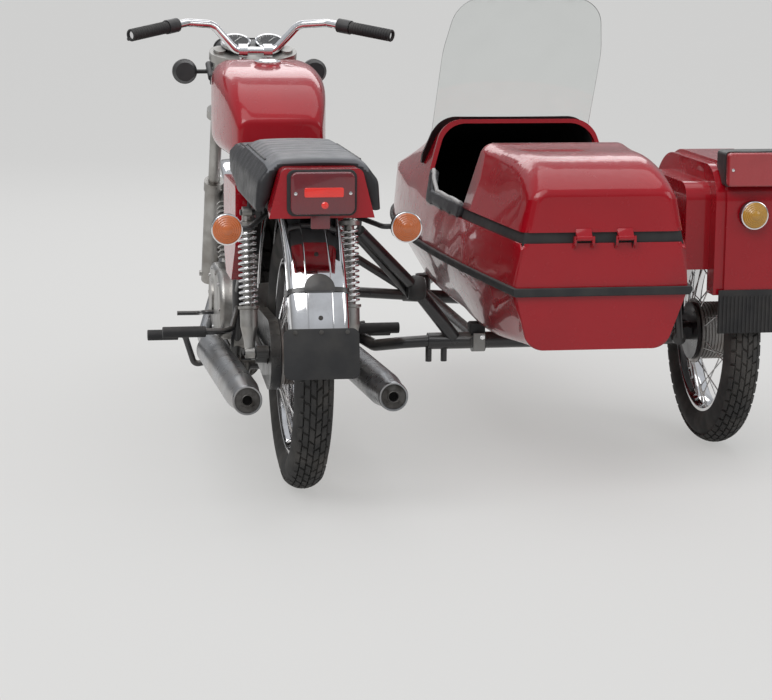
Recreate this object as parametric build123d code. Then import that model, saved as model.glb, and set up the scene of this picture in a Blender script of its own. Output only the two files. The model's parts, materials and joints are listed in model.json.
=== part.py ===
from build123d import *
import math
import os

# Motorcycle with a sidecar on its right, in millimetres.
# Modelled with +X to the sidecar's side, +Y forward, +Z up and the ground under the rear axle
# at zero. The finished pieces are moved so that the middle of the outfit's footprint is at zero.

# Wheels
wheelbase = 1335.0
rear_tyre_radius = 320.0
rear_tyre_width = 92.0
front_tyre_radius = 312.0
front_tyre_width = 86.0
side_tyre_radius = 292.0
side_tyre_width = 92.0
bike_rim_radius = 230.0
side_rim_radius = 205.0
rim_width = 62.0
rim_thickness = 4.0
rim_flange = 11.0
rim_well = 9.0
spoke_count = 36
spoke_size = 3.6
hub_flange_radius = 84.0
hub_flange_thickness = 6.0
hub_drum_radius = 74.0
hub_width = 100.0
axle_radius = 8.5
running_fit = 0.06
side_wheel_x = 1130.0
side_wheel_y = 344.0

# Steering
rake = 27.0
trail = 95.0
head_low = 888.0
head_high = 1042.0
head_radius = 27.0
stem_radius = 15.0
fork_leg_x = 92.0
slider_radius = 26.0
slider_length = 312.0
stanchion_radius = 17.0
stanchion_top = 1078.0
yoke_thickness = 24.0
lower_yoke_top = 884.0
upper_yoke_bottom = 1046.0
bar_radius = 11.0
bar_end_x = 345.0
grip_radius = 16.5
grip_length = 122.0

# Bike frame
backbone_radius = 22.0
cradle_radius = 15.0
cradle_x = 96.0
cradle_z = 200.0
seat_rail_radius = 13.0
seat_rail_z = 705.0
seat_rail_end_y = -235.0
seat_post_y = 455.0
pivot_y = 440.0
pivot_z = 335.0
swing_leg_x = 92.0
swing_leg_radius = 13.0
shock_x = 121.0
shock_low = (-35.0, 332.0)
shock_high = (24.0, 655.0)
spring_radius = 23.0
spring_turns = 14
peg_x = 300.0
peg_y = 338.0
peg_z = 316.0
rider_peg_y = 600.0
rider_peg_z = 262.0

# Bike bodywork
guard_width = 145.0
guard_radius = 362.0
guard_center = (-30.0, 355.0)
guard_skirt = 38.0
guard_sheet = 2.5
seat_front_y = 352.0
seat_rear_y = -330.0
seat_base_z = seat_rail_z + seat_rail_radius + 0.3
seat_top_z = 822.0
seat_half_width = 140.0
cowl_rear_y = -388.0
cowl_bottom_z = 692.0
lamp_width = 140.0
lamp_height = 92.0
lamp_z = 748.0
indicator_radius = 34.0
indicator_x = 200.0
indicator_y = -312.0
indicator_z = 660.0

# Sidecar
side_x = 670.0
body_wall = 4.0
belt_z = 498.0
belt_height = 20.0
belt_proud = 9.0
lid_gap_low = 610.0
lid_gap_high = 635.0
lid_front_y = 228.0
hoop_y = 655.0
chassis_radius = 20.0
chassis_z = 294.0
chassis_x = 185.0
side_guard_half = 95.0
side_guard_rear_y = 46.0
side_guard_top_z = 757.0
side_guard_low_z = 432.0

parts = {}


def rod(start, end, radius):
    """A round bar between two points."""
    start = Vector(*start)
    end = Vector(*end)
    return extrude(Plane(origin=start, z_dir=end - start) * Circle(radius), (end - start).length)


def tube(points, bend, radius):
    """A bent round bar along straight runs with arcs of one bend radius."""
    path = FilletPolyline(*points, radius=bend)
    return sweep(Plane(origin=path @ 0, z_dir=path % 0) * Circle(radius), path=path)


def turned(profile, y, z, start=0.0, arc=360.0):
    """A profile of (x, radius) points turned about the axle line at (y, z)."""
    face = make_face(Polyline(*profile, close=True))
    ring = revolve(face, Axis.X, arc)
    return Pos(0, y, z) * Rot(start, 0, 0) * ring


def side_slab(points, x_low, x_high):
    """A flat piece with its (y, z) outline, between two planes across the outfit."""
    face = Plane.YZ.offset(x_low) * make_face(Polyline(*points, close=True))
    return extrude(face, x_high - x_low)


def union(pieces):
    """One shape out of several that meet."""
    return pieces[0] + pieces[1:]


# Wheels: a tyre, and a laced rim with its full-width brake drum hub.

def tyre(x, y, z, radius, width, rim_radius):
    half = width / 2
    seat = rim_width / 2 - rim_thickness
    profile = [
        (-seat, rim_radius), (seat, rim_radius), (seat, rim_radius + rim_flange),
        (half, (rim_radius + radius) / 2), (half * 0.9, radius - 18), (half * 0.5, radius),
        (-half * 0.5, radius), (-half * 0.9, radius - 18), (-half, (rim_radius + radius) / 2),
        (-seat, rim_radius + rim_flange),
    ]
    return Pos(x, 0, 0) * turned(profile, y, z)


def laced_wheel(x, y, z, rim_radius):
    half = rim_width / 2
    seat = half - rim_thickness
    well = rim_radius - rim_well
    rim = turned([
        (-half, rim_radius + rim_flange), (-half, well), (half, well), (half, rim_radius + rim_flange),
        (seat, rim_radius + rim_flange), (seat, rim_radius), (-seat, rim_radius), (-seat, rim_radius + rim_flange),
    ], 0, 0)
    hub_half = hub_width / 2
    lip = hub_half - hub_flange_thickness
    bore = axle_radius + running_fit
    hub = turned([
        (-hub_half, bore), (-hub_half, hub_flange_radius), (-lip, hub_flange_radius), (-lip, hub_drum_radius),
        (lip, hub_drum_radius), (lip, hub_flange_radius), (hub_half, hub_flange_radius), (hub_half, bore),
    ], 0, 0)
    spokes = []
    for index in range(spoke_count):
        angle = 360 * index / spoke_count
        side = 1 if index % 2 else -1
        lean = 14 if index % 4 < 2 else -14
        inner = Vector(side * (hub_half - hub_flange_thickness / 2), hub_flange_radius - 5, 0)
        inner = inner.rotate(Axis.X, angle + lean)
        outer = Vector(side * 6, rim_radius - rim_well + 3, 0).rotate(Axis.X, angle)
        plane = Plane(origin=inner, z_dir=outer - inner)
        spokes.append(extrude(plane * Rectangle(spoke_size, spoke_size), (outer - inner).length))
    return Pos(x, y, z) * union([rim, hub] + spokes)


parts["rear_tyre"] = tyre(0, 0, rear_tyre_radius, rear_tyre_radius, rear_tyre_width, bike_rim_radius)
parts["rear_wheel"] = laced_wheel(0, 0, rear_tyre_radius, bike_rim_radius)
parts["front_tyre"] = tyre(0, wheelbase, front_tyre_radius, front_tyre_radius, front_tyre_width, bike_rim_radius)
parts["front_wheel"] = laced_wheel(0, wheelbase, front_tyre_radius, bike_rim_radius)
parts["sidecar_tyre"] = tyre(side_wheel_x, side_wheel_y, side_tyre_radius, side_tyre_radius, side_tyre_width,
                             side_rim_radius)
parts["sidecar_wheel"] = laced_wheel(side_wheel_x, side_wheel_y, side_tyre_radius, side_rim_radius)

# Bike frame: a backbone and head tube, a twin cradle under the engine, and seat rails.

steer_plane = Plane(origin=(0, wheelbase + trail, 0), x_dir=(1, 0, 0),
                    z_dir=(0, -math.sin(math.radians(rake)), math.cos(math.radians(rake))))
fork_offset = (front_tyre_radius * math.sin(math.radians(rake)) - trail * math.cos(math.radians(rake)))
axle_along = (front_tyre_radius * math.cos(math.radians(rake)) + trail * math.sin(math.radians(rake)))


def steer_point(x, forward, along):
    """A point given across the bike, ahead of the steering axis and along it from the ground."""
    return steer_plane.from_local_coords(Vector(x, forward, along))


def steer_rod(x, forward, low, high, radius):
    """A round bar parallel to the steering axis."""
    return rod(steer_point(x, forward, low), steer_point(x, forward, high), radius)


head_middle = steer_point(0, 0, (head_low + head_high) / 2)
head_foot = steer_point(0, -18, head_low + 57)
backbone_rear = (0, seat_post_y, seat_rail_z + 10)
head = steer_rod(0, 0, head_low, head_high, head_radius)
backbone = rod(head_middle, backbone_rear, backbone_radius)
frame_pieces = [head, backbone]
for side in (-1, 1):
    cradle = [
        (side * 16, head_foot.Y, head_foot.Z), (side * 62, 900, 320), (side * cradle_x, 830, cradle_z),
        (side * cradle_x, 548, cradle_z), (side * cradle_x, seat_post_y + 30, 330),
        (side * cradle_x, seat_post_y, seat_rail_z),
    ]
    frame_pieces.append(tube(cradle, 45, cradle_radius))
    frame_pieces.append(side_slab([(seat_post_y + 30, pivot_z + 30), (seat_post_y + 40, pivot_z - 40),
                                   (pivot_y - 14, pivot_z - 16), (pivot_y - 14, pivot_z + 16)],
                                  side * 89 - 3, side * 89 + 3))
frame_pieces.append(rod((-cradle_x, seat_post_y, seat_rail_z - 6), (cradle_x, seat_post_y, seat_rail_z - 6), 14))
frame_pieces.append(rod((-cradle_x, 580, cradle_z), (cradle_x, 580, cradle_z), 13))
frame_pieces.append(rod((-92, pivot_y, pivot_z), (92, pivot_y, pivot_z), 8))
frame_pieces.append(rod((-80, 845, cradle_z + 10), (80, 845, cradle_z + 10), 12))
main_frame = union(frame_pieces)
main_frame -= steer_rod(0, 0, head_low - 20, head_high + 20, stem_radius + running_fit)
parts["main_frame"] = main_frame

link_plate_x = 146.0
rails = []
for side in (-1, 1):
    rails.append(rod((side * cradle_x, seat_post_y - cradle_radius, seat_rail_z),
                     (side * cradle_x, seat_rail_end_y, seat_rail_z), seat_rail_radius))
    rails.append(rod((side * cradle_x, seat_post_y + 10, 400), (side * cradle_x, shock_high[0], seat_rail_z - 5), 10))
    stud_z = shock_high[1]
    rails.append(side_slab([(0, seat_rail_z), (50, seat_rail_z), (shock_high[0] + 14, stud_z - 12),
                            (shock_high[0] - 14, stud_z - 12)], side * cradle_x - 6, side * cradle_x + 6))
    stud_x = side * (shock_x + 16) if side < 0 else link_plate_x
    rails.append(rod((side * cradle_x, shock_high[0], stud_z), (stud_x, shock_high[0], stud_z), 7))
rails.append(rod((-cradle_x, seat_rail_end_y + 20, seat_rail_z), (cradle_x, seat_rail_end_y + 20, seat_rail_z), 11))
rails.append(rod((-cradle_x, 90, seat_rail_z), (cradle_x, 90, seat_rail_z), 11))
parts["seat_rails"] = union(rails) - parts["main_frame"]

# Swing arm with the rear axle, the brake plate on its right and the chain case on its left.

axle_z = rear_tyre_radius
leg_end = 45.0
boss_x = 77.0
arm = [rod((-85, pivot_y, pivot_z), (85, pivot_y, pivot_z), 17)]
for side in (-1, 1):
    leg = [(side * 64, pivot_y, pivot_z), (side * swing_leg_x, pivot_y - 90, pivot_z - 2),
           (side * swing_leg_x, -leg_end, axle_z + 4)]
    arm.append(tube(leg, 60, swing_leg_radius))
    arm.append(rod((side * boss_x, 0, axle_z), (side * 104, 0, axle_z), 21))
    arm.append(rod((side * 104, 0, axle_z), (side * 114, 0, axle_z), 13))
    arm.append(rod((side * boss_x, *shock_low), (side * 106, *shock_low), 15))
    arm.append(rod((side * 106, *shock_low), (side * (shock_x + 16), *shock_low), 7))
arm.append(rod((-110, 0, axle_z), (110, 0, axle_z), axle_radius))
plate_gap = 1.5
plate_x = hub_width / 2 + plate_gap
arm.append(rod((plate_x, 0, axle_z), (plate_x + 9, 0, axle_z), hub_drum_radius))
arm.append(rod((plate_x + 9, 0, axle_z), (boss_x + 3, 0, axle_z), 24))
arm.append(rod((plate_x + 12, 40, axle_z - 50), (plate_x + 12, 330, pivot_z - 45), 6))
arm.append(rod((plate_x + 5, 40, axle_z - 50), (plate_x + 20, 40, axle_z - 50), 8))
arm.append(side_slab([(318, pivot_z - 53), (340, pivot_z - 53), (345, pivot_z + 2), (300, pivot_z + 2)],
                     plate_x + 8, swing_leg_x - 8))
swing_arm = union(arm) - rod((-200, pivot_y, pivot_z), (200, pivot_y, pivot_z), 8)
parts["swing_arm"] = swing_arm

case_inner = 51.5
case_width = 24.0
case_rear_radius = 84.0
case_front_radius = 52.0
case_plane = Plane.YZ.offset(-case_inner - case_width)
case_front = (pivot_y + 60, pivot_z)
case_ends = [Pos(0, axle_z) * Circle(case_rear_radius), Pos(*case_front) * Circle(case_front_radius)]
case_face = make_hull([end.edge() for end in case_ends])
chain_case = extrude(case_plane * case_face, case_width)
chain_case -= rod((-200, *(0, axle_z)), (0, *(0, axle_z)), 24)
chain_case -= rod((-200, pivot_y, pivot_z), (0, pivot_y, pivot_z), 17.3)
parts["chain_case"] = chain_case - swing_arm

# Shock absorbers: an alloy lower body and top eye, with the chromed coil round the upper part.

shock_bodies = []
shock_springs = []
for side in (-1, 1):
    low = Vector(side * shock_x, *shock_low)
    high = Vector(side * shock_x, *shock_high)
    length = (high - low).length
    up = Plane(origin=low, x_dir=(1, 0, 0), z_dir=high - low)
    spring_low = 108.0
    spring_high = length - 34
    profile = [
        (0, 10), (12, 10), (14, 30), (21, 62), (21, spring_low - 8), (25, spring_low - 6), (25, spring_low),
        (12, spring_low + 0.4), (12, spring_high - 0.4), (25, spring_high), (25, spring_high + 10),
        (12, spring_high + 16), (12, length - 10), (0, length - 10),
    ]
    body = up * (Rot(90, 0, 0) * revolve(make_face(Polyline(*profile, close=True)), Axis.Y))
    for end in (low, high):
        body += rod(end - Vector(11, 0, 0), end + Vector(11, 0, 0), 14)
        body -= rod(end - Vector(20, 0, 0), end + Vector(20, 0, 0), 7.05)
    shock_bodies.append(body)
    pitch = (spring_high - spring_low) / spring_turns
    coil = [(12.5, spring_low + 0.5)]
    for turn in range(spring_turns):
        base = spring_low + turn * pitch
        coil += [(spring_radius - 5, base + 1.0), (spring_radius, base + pitch / 2 - 2),
                 (spring_radius, base + pitch / 2 + 2), (spring_radius - 5, base + pitch - 1.0)]
    coil += [(12.5, spring_high - 0.8)]
    coil = [(x, min(max(y, spring_low + 0.5), spring_high - 0.5)) for x, y in coil]
    shock_springs.append(up * (Rot(90, 0, 0) * revolve(make_face(Polyline(*coil, close=True)), Axis.Y)))
parts["shock_bodies"] = Compound(shock_bodies)
parts["shock_springs"] = Compound(shock_springs)

# Engine: a rounded crankcase with oval side covers, two finned barrels with their heads, and the
# carburettor with its air box behind.

engine_y = 668.0
engine_z = 336.0
crank_length = 400.0
crank_height = 208.0
crank_half = 104.0
cover_depth = 34.0
case = Plane.YZ.offset(-crank_half) * Pos(engine_y, engine_z) * RectangleRounded(crank_length, crank_height, 88)
engine = extrude(case, 2 * crank_half)
engine -= Pos(0, engine_y - crank_length / 2 - 10, engine_z) * Box(400, 90, 400)
for side in (-1, 1):
    cover = Plane.YZ.offset(side * crank_half) * Pos(engine_y + 25, engine_z) * RectangleRounded(330, 180, 84)
    cover = extrude(cover, side * cover_depth)
    cover = fillet(cover.faces().sort_by(Axis.X)[-1 if side > 0 else 0].edges(), 14)
    engine += cover
    disc = Plane.YZ.offset(side * (crank_half + cover_depth)) * Pos(engine_y + 95, engine_z) * Circle(48)
    engine += extrude(disc, side * 5)
barrel_y = 742.0
barrel_x = 62.0
barrel_foot = 430.0
barrel_tilt = 12.0
fin_pitch = 13.0
fin_thickness = 3.4
fin_rows = 12
head_rows = 4
engine += Pos(0, barrel_y, barrel_foot - 8) * Box(210, 150, 30)
parts["crankcase"] = engine - parts["main_frame"] - parts["swing_arm"] - parts["chain_case"]

barrels = []
for side in (-1, 1):
    height = fin_rows * fin_pitch
    barrel = [Pos(0, 0, height / 2) * Cylinder(43, height)]
    for row in range(fin_rows):
        size = 116 if row < fin_rows - head_rows else 122
        fin = RectangleRounded(118, size + 8, 26)
        barrel.append(Pos(0, 0, row * fin_pitch + 8) * extrude(fin, fin_thickness))
    barrel.append(Pos(0, 0, height + 6) * Cylinder(30, 14))
    barrel.append(Pos(0, 0, height + 24) * Cylinder(9, 36))
    barrel.append(Pos(0, 66, 62) * Rot(90, 0, 0) * Cylinder(25, 44))
    barrels.append(Pos(side * (barrel_x - 1.2), barrel_y, barrel_foot + 7) * Rot(-barrel_tilt, 0, 0) * union(barrel))
spacer = Pos(0, barrel_y, barrel_foot + 12) * Rot(-barrel_tilt, 0, 0) * Box(200, 110, 14)
cylinders = union(barrels + [spacer]) - parts["crankcase"]
parts["cylinders"] = cylinders

air_box = Pos(0, seat_post_y + 90, 560) * Box(140, 92, 150)
air_box = fillet(air_box.edges(), 14)
neck = rod((0, seat_post_y + 120, 540), (0, barrel_y - 46, 505), 26)
bowl = rod((0, 610, 470), (0, 610, 545), 21)
parts["air_box"] = union([air_box, neck, bowl]) - parts["cylinders"] - parts["main_frame"] - parts["crankcase"]

# Exhausts: a header from each barrel, round the front of the crankcase, into a long silencer.

silencer_front = (163.0, 560.0, 236.0)
silencer_rear = (163.0, -376.0, 290.0)
silencer_radius = 40.0
header_radius = 19.0
exhausts = []
for side in (-1, 1):
    port = (side * barrel_x, barrel_y + 84, barrel_foot + 49)
    header = [
        port, (side * 74, barrel_y + 172, barrel_foot + 20), (side * 122, barrel_y + 160, 290),
        (side * 160, 760, 226), (side * silencer_front[0], silencer_front[1] + 60, silencer_front[2] - 3),
    ]
    start = Vector(side * silencer_front[0], *silencer_front[1:])
    end = Vector(side * silencer_rear[0], *silencer_rear[1:])
    length = (end - start).length
    profile = [
        (0, -62), (header_radius + 2, -62), (header_radius + 2, -40), (silencer_radius, 70),
        (silencer_radius, length - 120), (31, length - 2), (27, length), (0, length),
    ]
    muffler = revolve(make_face(Polyline(*profile, close=True)), Axis.Y)
    place = Plane(origin=start, x_dir=(1, 0, 0), z_dir=end - start)
    muffler = place * (Rot(90, 0, 0) * muffler)
    muffler -= place * (Pos(0, 0, length - 30) * Cylinder(11, 80))
    exhausts.append(tube(header, 48, header_radius) + muffler)
parts["exhausts"] = Compound([piece - parts["cylinders"] - parts["crankcase"] - parts["main_frame"]
                              for piece in exhausts])

# Fuel tank, seat, side covers and the tail with its lamp.

tank_stations = [
    (362, 104, 738, 842, 26), (470, 128, 736, 925, 40), (640, 142, 734, 962, 52), (790, 132, 742, 968, 50),
    (905, 84, 800, 940, 34),
]
tank_sections = []
for y, half, low, high, corner in tank_stations:
    section = Pos(0, (low + high) / 2) * RectangleRounded(2 * half, high - low, corner)
    tank_sections.append(Plane(origin=(0, y, 0), x_dir=(1, 0, 0), z_dir=(0, -1, 0)) * section)
tank = loft(tank_sections)
tunnel_half = backbone_radius + 0.3
backbone_slope = (head_middle.Z - backbone_rear[2]) / (head_middle.Y - backbone_rear[1])
tunnel_ends = [(y, backbone_rear[2] + (y - backbone_rear[1]) * backbone_slope) for y in (300, 960)]
tank -= side_slab([(300, 500), *tunnel_ends, (960, 500)], -tunnel_half, tunnel_half)
tank -= rod((0, *tunnel_ends[0]), (0, *tunnel_ends[1]), tunnel_half)
tank = tank - parts["main_frame"]
tank += Pos(0, 650, 966) * Cylinder(31, 22)
parts["fuel_tank"] = tank

cowl = Plane(origin=(0, cowl_rear_y, 0), x_dir=(1, 0, 0), z_dir=(0, -1, 0))
cowl_length = 150.0


def cowl_section(half_low, half_high, low, grow=0.0):
    """The tail cowl's trapezoid with rounded upper corners, made larger all round by grow."""
    corners = [(-half_low - grow, low - grow), (half_low + grow, low - grow),
               (half_high + grow, 800 + grow), (-half_high - grow, 800 + grow)]
    face = make_face(Polyline(*corners, close=True))
    return fillet(face.vertices().sort_by(Axis.Y)[-2:], 16)


def cowl_block(grow=0.0):
    return loft([cowl.offset(grow) * cowl_section(116, 88, cowl_bottom_z, grow),
                 cowl.offset(-cowl_length - grow) * cowl_section(106, 84, cowl_bottom_z + 40, grow)])


tail_cowl = cowl_block()
tail_cowl -= Pos(0, cowl_rear_y + cowl_length / 2 + 4, 692) * Box(190, cowl_length, 62)
parts["tail_cowl"] = tail_cowl - parts["seat_rails"]

lamp_face = Pos(0, lamp_z) * RectangleRounded(lamp_width, lamp_height, 14)
lamp = extrude(cowl * lamp_face, 16)
lamp = fillet(lamp.faces().sort_by(Axis.Y)[0].edges(), 5)
parts["tail_lamp"] = lamp

seat_plane = Plane(origin=(0, seat_rear_y, 0), x_dir=(1, 0, 0), z_dir=(0, -1, 0))
seat_section = [
    (-118, seat_base_z), (118, seat_base_z), (118, 698), (seat_half_width, 698), (seat_half_width - 5, 764),
    (112, 806), (84, seat_top_z), (-84, seat_top_z), (-112, 806), (-seat_half_width + 5, 764),
    (-seat_half_width, 698), (-118, 698),
]
seat = extrude(seat_plane * make_face(Polyline(*seat_section, close=True)), seat_rear_y - seat_front_y)
cowl_room = cowl_block(1.0)
seat_nose = side_slab([(seat_front_y + 1, 690), (seat_front_y + 1, 840), (110, 840), (110, 824), (150, 802),
                       (seat_front_y - 40, 796), (seat_front_y - 6, 770), (seat_front_y - 90, 726),
                       (112, 706.3), (60, 690)],
                      -200, 200)
parts["seat"] = seat - cowl_room - seat_nose

covers = []
for side in (-1, 1):
    outline = [(120, seat_rail_z), (415, seat_rail_z), (412, 520), (360, 462), (230, 462), (128, 560)]
    pan = side_slab(outline, cradle_x + seat_rail_radius + 0.3, 138)
    pan = fillet(pan.edges().filter_by(Axis.X), 18)
    hollow = offset(pan, -3, kind=Kind.INTERSECTION)
    pan = pan - (Pos(-14, 0, 0) * hollow) - hollow
    covers.append(pan if side > 0 else mirror(pan, Plane.YZ))
parts["side_covers"] = Compound(covers)

# Rear mudguard of bright sheet with its rubber flap, and the round indicators on their stalks.


def arched_guard(center, radius, half, skirt, sheet, start, arc):
    """A sheet mudguard: a crowned band with turned-down sides, round the line at (y, z)."""
    outer = [(-half, radius - skirt), (-half, radius - 14), (-half + 16, radius), (half - 16, radius),
             (half, radius - 14), (half, radius - skirt)]
    low = radius - sheet
    inner = [(half - sheet, radius - skirt), (half - sheet, radius - 14 - sheet * 0.6), (half - 17, low),
             (17 - half, low), (sheet - half, radius - 14 - sheet * 0.6), (sheet - half, radius - skirt)]
    return turned(outer + inner, *center, start, arc)


guard_end = 169.0
guard_start = 14.0
rear_guard = arched_guard(guard_center, guard_radius, guard_width / 2, guard_skirt, guard_sheet, guard_start,
                          guard_end - guard_start)
guard_room = Pos(0, seat_rail_end_y + 20, seat_rail_z) * Rot(0, 90, 0) * Cylinder(11.2, 300)
guard_room += Pos(0, 90, seat_rail_z) * Rot(0, 90, 0) * Cylinder(11.2, 300)
parts["rear_mudguard"] = rear_guard - guard_room

flap_bottom = 337.0
flap_width = 170.0
flap_thickness = 4.0


def guard_back(z, gap=0.0):
    """How far back the rear mudguard's outer face lies at a height."""
    return guard_center[0] - math.sqrt((guard_radius + gap) ** 2 - (z - guard_center[1]) ** 2)


flap_high = [(guard_back(z), z) for z in (448, 428)]
flap_outer = [(guard_back(z) - flap_thickness, z) for z in (428, 448)]
flap_low = guard_back(428) - 16
flap = flap_high + [(flap_low, flap_bottom), (flap_low - flap_thickness, flap_bottom)] + flap_outer
rear_flap = side_slab(flap, -flap_width / 2, flap_width / 2)
parts["rear_mudflap"] = rear_flap - parts["rear_mudguard"]

shells = []
lenses = []


def indicator(x, y, z, depth):
    """A round indicator facing backward: its dark shell and its domed lens."""
    back = Plane(origin=(x, y, z), x_dir=(1, 0, 0), z_dir=(0, 1, 0))
    shell = extrude(back * Circle(indicator_radius), 16)
    shell += Pos(x, y + 24, z) * Rot(90, 0, 0) * Cone(indicator_radius - 8, indicator_radius, 18)
    lens = extrude(back * Circle(indicator_radius - 1.5), -depth)
    lens = chamfer(lens.faces().sort_by(Axis.Y)[0].edges(), 5)
    return shell, lens


for side in (-1, 1):
    shell, lens = indicator(side * indicator_x, indicator_y, indicator_z, 14)
    stalk = tube([(side * (indicator_x - 20), indicator_y + 18, indicator_z),
                  (side * 150, indicator_y + 18, indicator_z), (side * cradle_x, -150, seat_rail_z - 34),
                  (side * cradle_x, -120, seat_rail_z - 10)], 12, 6)
    shells.append(shell + stalk - parts["seat_rails"] - parts["tail_cowl"])
    lenses.append(lens)

# Footrests, the centre stand and the foot levers.

rubbers = []
for side in (-1, 1):
    bar = [(side * cradle_x, seat_post_y + 26, peg_z + 40), (side * 122, peg_y + 40, peg_z),
           (side * 140, peg_y, peg_z), (side * (peg_x - 4), peg_y, peg_z)]
    parts["main_frame"] += tube(bar, 20, 8) - parts["swing_arm"] - parts["chain_case"]
    rubbers.append(rod((side * (peg_x - 108), peg_y, peg_z), (side * peg_x, peg_y, peg_z), 14)
                   - rod((side * (peg_x - 120), peg_y, peg_z), (side * (peg_x - 4), peg_y, peg_z), 8))
    bar = [(side * cradle_x, rider_peg_y, cradle_z), (side * 200, rider_peg_y, cradle_z - 18),
           (side * 225, rider_peg_y, rider_peg_z), (side * 318, rider_peg_y, rider_peg_z)]
    parts["main_frame"] += tube(bar, 14, 8) - parts["exhausts"]
    rubbers.append(rod((side * 242, rider_peg_y, rider_peg_z), (side * 322, rider_peg_y, rider_peg_z), 14)
                   - rod((side * 240, rider_peg_y, rider_peg_z), (side * 318, rider_peg_y, rider_peg_z), 8))
parts["footrest_rubbers"] = Compound(rubbers)

stand_y = 505.0
stand_z = 196.0
stand_leg = stand_z - 6
for side in (-1, 1):
    lug = side_slab([(stand_y + 60, cradle_z - 6), (stand_y + 60, cradle_z + 8), (stand_y + 34, cradle_z + 18),
                     (stand_y - 10, stand_z + 12), (stand_y - 10, stand_z - 12), (stand_y + 10, stand_z - 12)],
                    86, 92)
    parts["main_frame"] += lug if side > 0 else mirror(lug, Plane.YZ)
parts["main_frame"] += rod((-90, stand_y, stand_z), (90, stand_y, stand_z), 7)
stand = [rod((-84, stand_y, stand_z), (84, stand_y, stand_z), 12)]
for side in (-1, 1):
    leg = [(side * 70, stand_y, stand_z), (side * 84, stand_y - 90, stand_z - 6),
           (side * 104, stand_y - stand_leg, stand_z - 12)]
    stand.append(tube(leg, 30, 9))
    stand.append(Pos(side * 106, stand_y - stand_leg + 4, stand_z - 12) * Box(24, 16, 40))
center_stand = union(stand) - rod((-100, stand_y, stand_z), (100, stand_y, stand_z), 7 + running_fit)
parts["center_stand"] = center_stand

gear_lever = tube([(-crank_half - cover_depth + 6, 720, 300), (-crank_half - cover_depth - 26, 720, 300),
                   (-crank_half - cover_depth - 30, 790, 286), (-crank_half - cover_depth - 92, 792, 286)], 12, 6)
brake_lever = tube([(cradle_x, 560, cradle_z), (182, 590, cradle_z - 20), (226, 640, cradle_z - 8),
                    (228, 760, 250), (280, 768, 254)], 14, 6)
levers = [gear_lever - parts["crankcase"], brake_lever - parts["main_frame"] - parts["exhausts"]]
parts["foot_levers"] = Compound([piece.solids().sort_by(SortBy.VOLUME)[-1] for piece in levers])

# Steering: stem and yokes, fork legs, front mudguard, headlamp, handlebar and controls.

yokes = [steer_rod(0, 0, lower_yoke_top - yoke_thickness, upper_yoke_bottom + yoke_thickness, stem_radius)]
for low in (lower_yoke_top - yoke_thickness, upper_yoke_bottom):
    plate = Plane(origin=steer_point(0, 0, low), x_dir=(1, 0, 0), z_dir=steer_plane.z_dir)
    ends = [Pos(-fork_leg_x, fork_offset) * Circle(29), Pos(fork_leg_x, fork_offset) * Circle(29),
            Circle(24)]
    yokes.append(extrude(plate * make_hull([end.edge() for end in ends]), yoke_thickness))
fork_yokes = union(yokes)
legs = []
for side in (-1, 1):
    x = side * fork_leg_x
    stanchion = steer_rod(x, fork_offset, axle_along + slider_length - 40, stanchion_top, stanchion_radius)
    slider = steer_rod(x, fork_offset, axle_along - 24, axle_along + slider_length, slider_radius)
    slider += steer_rod(x, fork_offset, axle_along + slider_length - 18, axle_along + slider_length + 12, 29)
    fork_yokes -= steer_rod(x, fork_offset, lower_yoke_top - 60, stanchion_top + 60, stanchion_radius)
    legs.append(slider + stanchion)
front_axle = rod((-fork_leg_x - 32, wheelbase, front_tyre_radius), (fork_leg_x + 32, wheelbase, front_tyre_radius),
                 axle_radius)
front_plate = rod((-plate_x - 9, wheelbase, front_tyre_radius), (-plate_x, wheelbase, front_tyre_radius),
                  hub_drum_radius)
front_plate += rod((-fork_leg_x, wheelbase, front_tyre_radius), (-plate_x - 9, wheelbase, front_tyre_radius), 22)
spacer = rod((plate_x, wheelbase, front_tyre_radius), (fork_leg_x, wheelbase, front_tyre_radius), 17)
parts["fork_legs"] = union(legs + [front_axle, front_plate, spacer])
parts["fork_yokes"] = fork_yokes

front_guard_radius = front_tyre_radius + 26
front_guard = arched_guard((wheelbase, front_tyre_radius), front_guard_radius, 58, 30, 2.5, 22, 158)
struts = []
for side in (-1, 1):
    for reach in (150, 192):
        angle = math.radians(reach if reach < 180 else 30)
        rim_y = wheelbase + (front_guard_radius - 16) * math.cos(angle)
        rim_z = front_tyre_radius + (front_guard_radius - 16) * math.sin(angle)
        struts.append(rod((side * 61, rim_y, rim_z), (side * 68, wheelbase + 4, front_tyre_radius + 32), 4.5))
    struts.append(rod(steer_point(side * 56, fork_offset, axle_along + slider_length),
                      steer_point(side * 70, fork_offset, axle_along + slider_length), 9))
front_mudguard = union([front_guard] + struts) - parts["fork_legs"]
front_mudguard -= Pos(0, wheelbase, front_tyre_radius) * Rot(0, 90, 0) * Cylinder(24, 300)
parts["front_mudguard"] = front_mudguard

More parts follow.
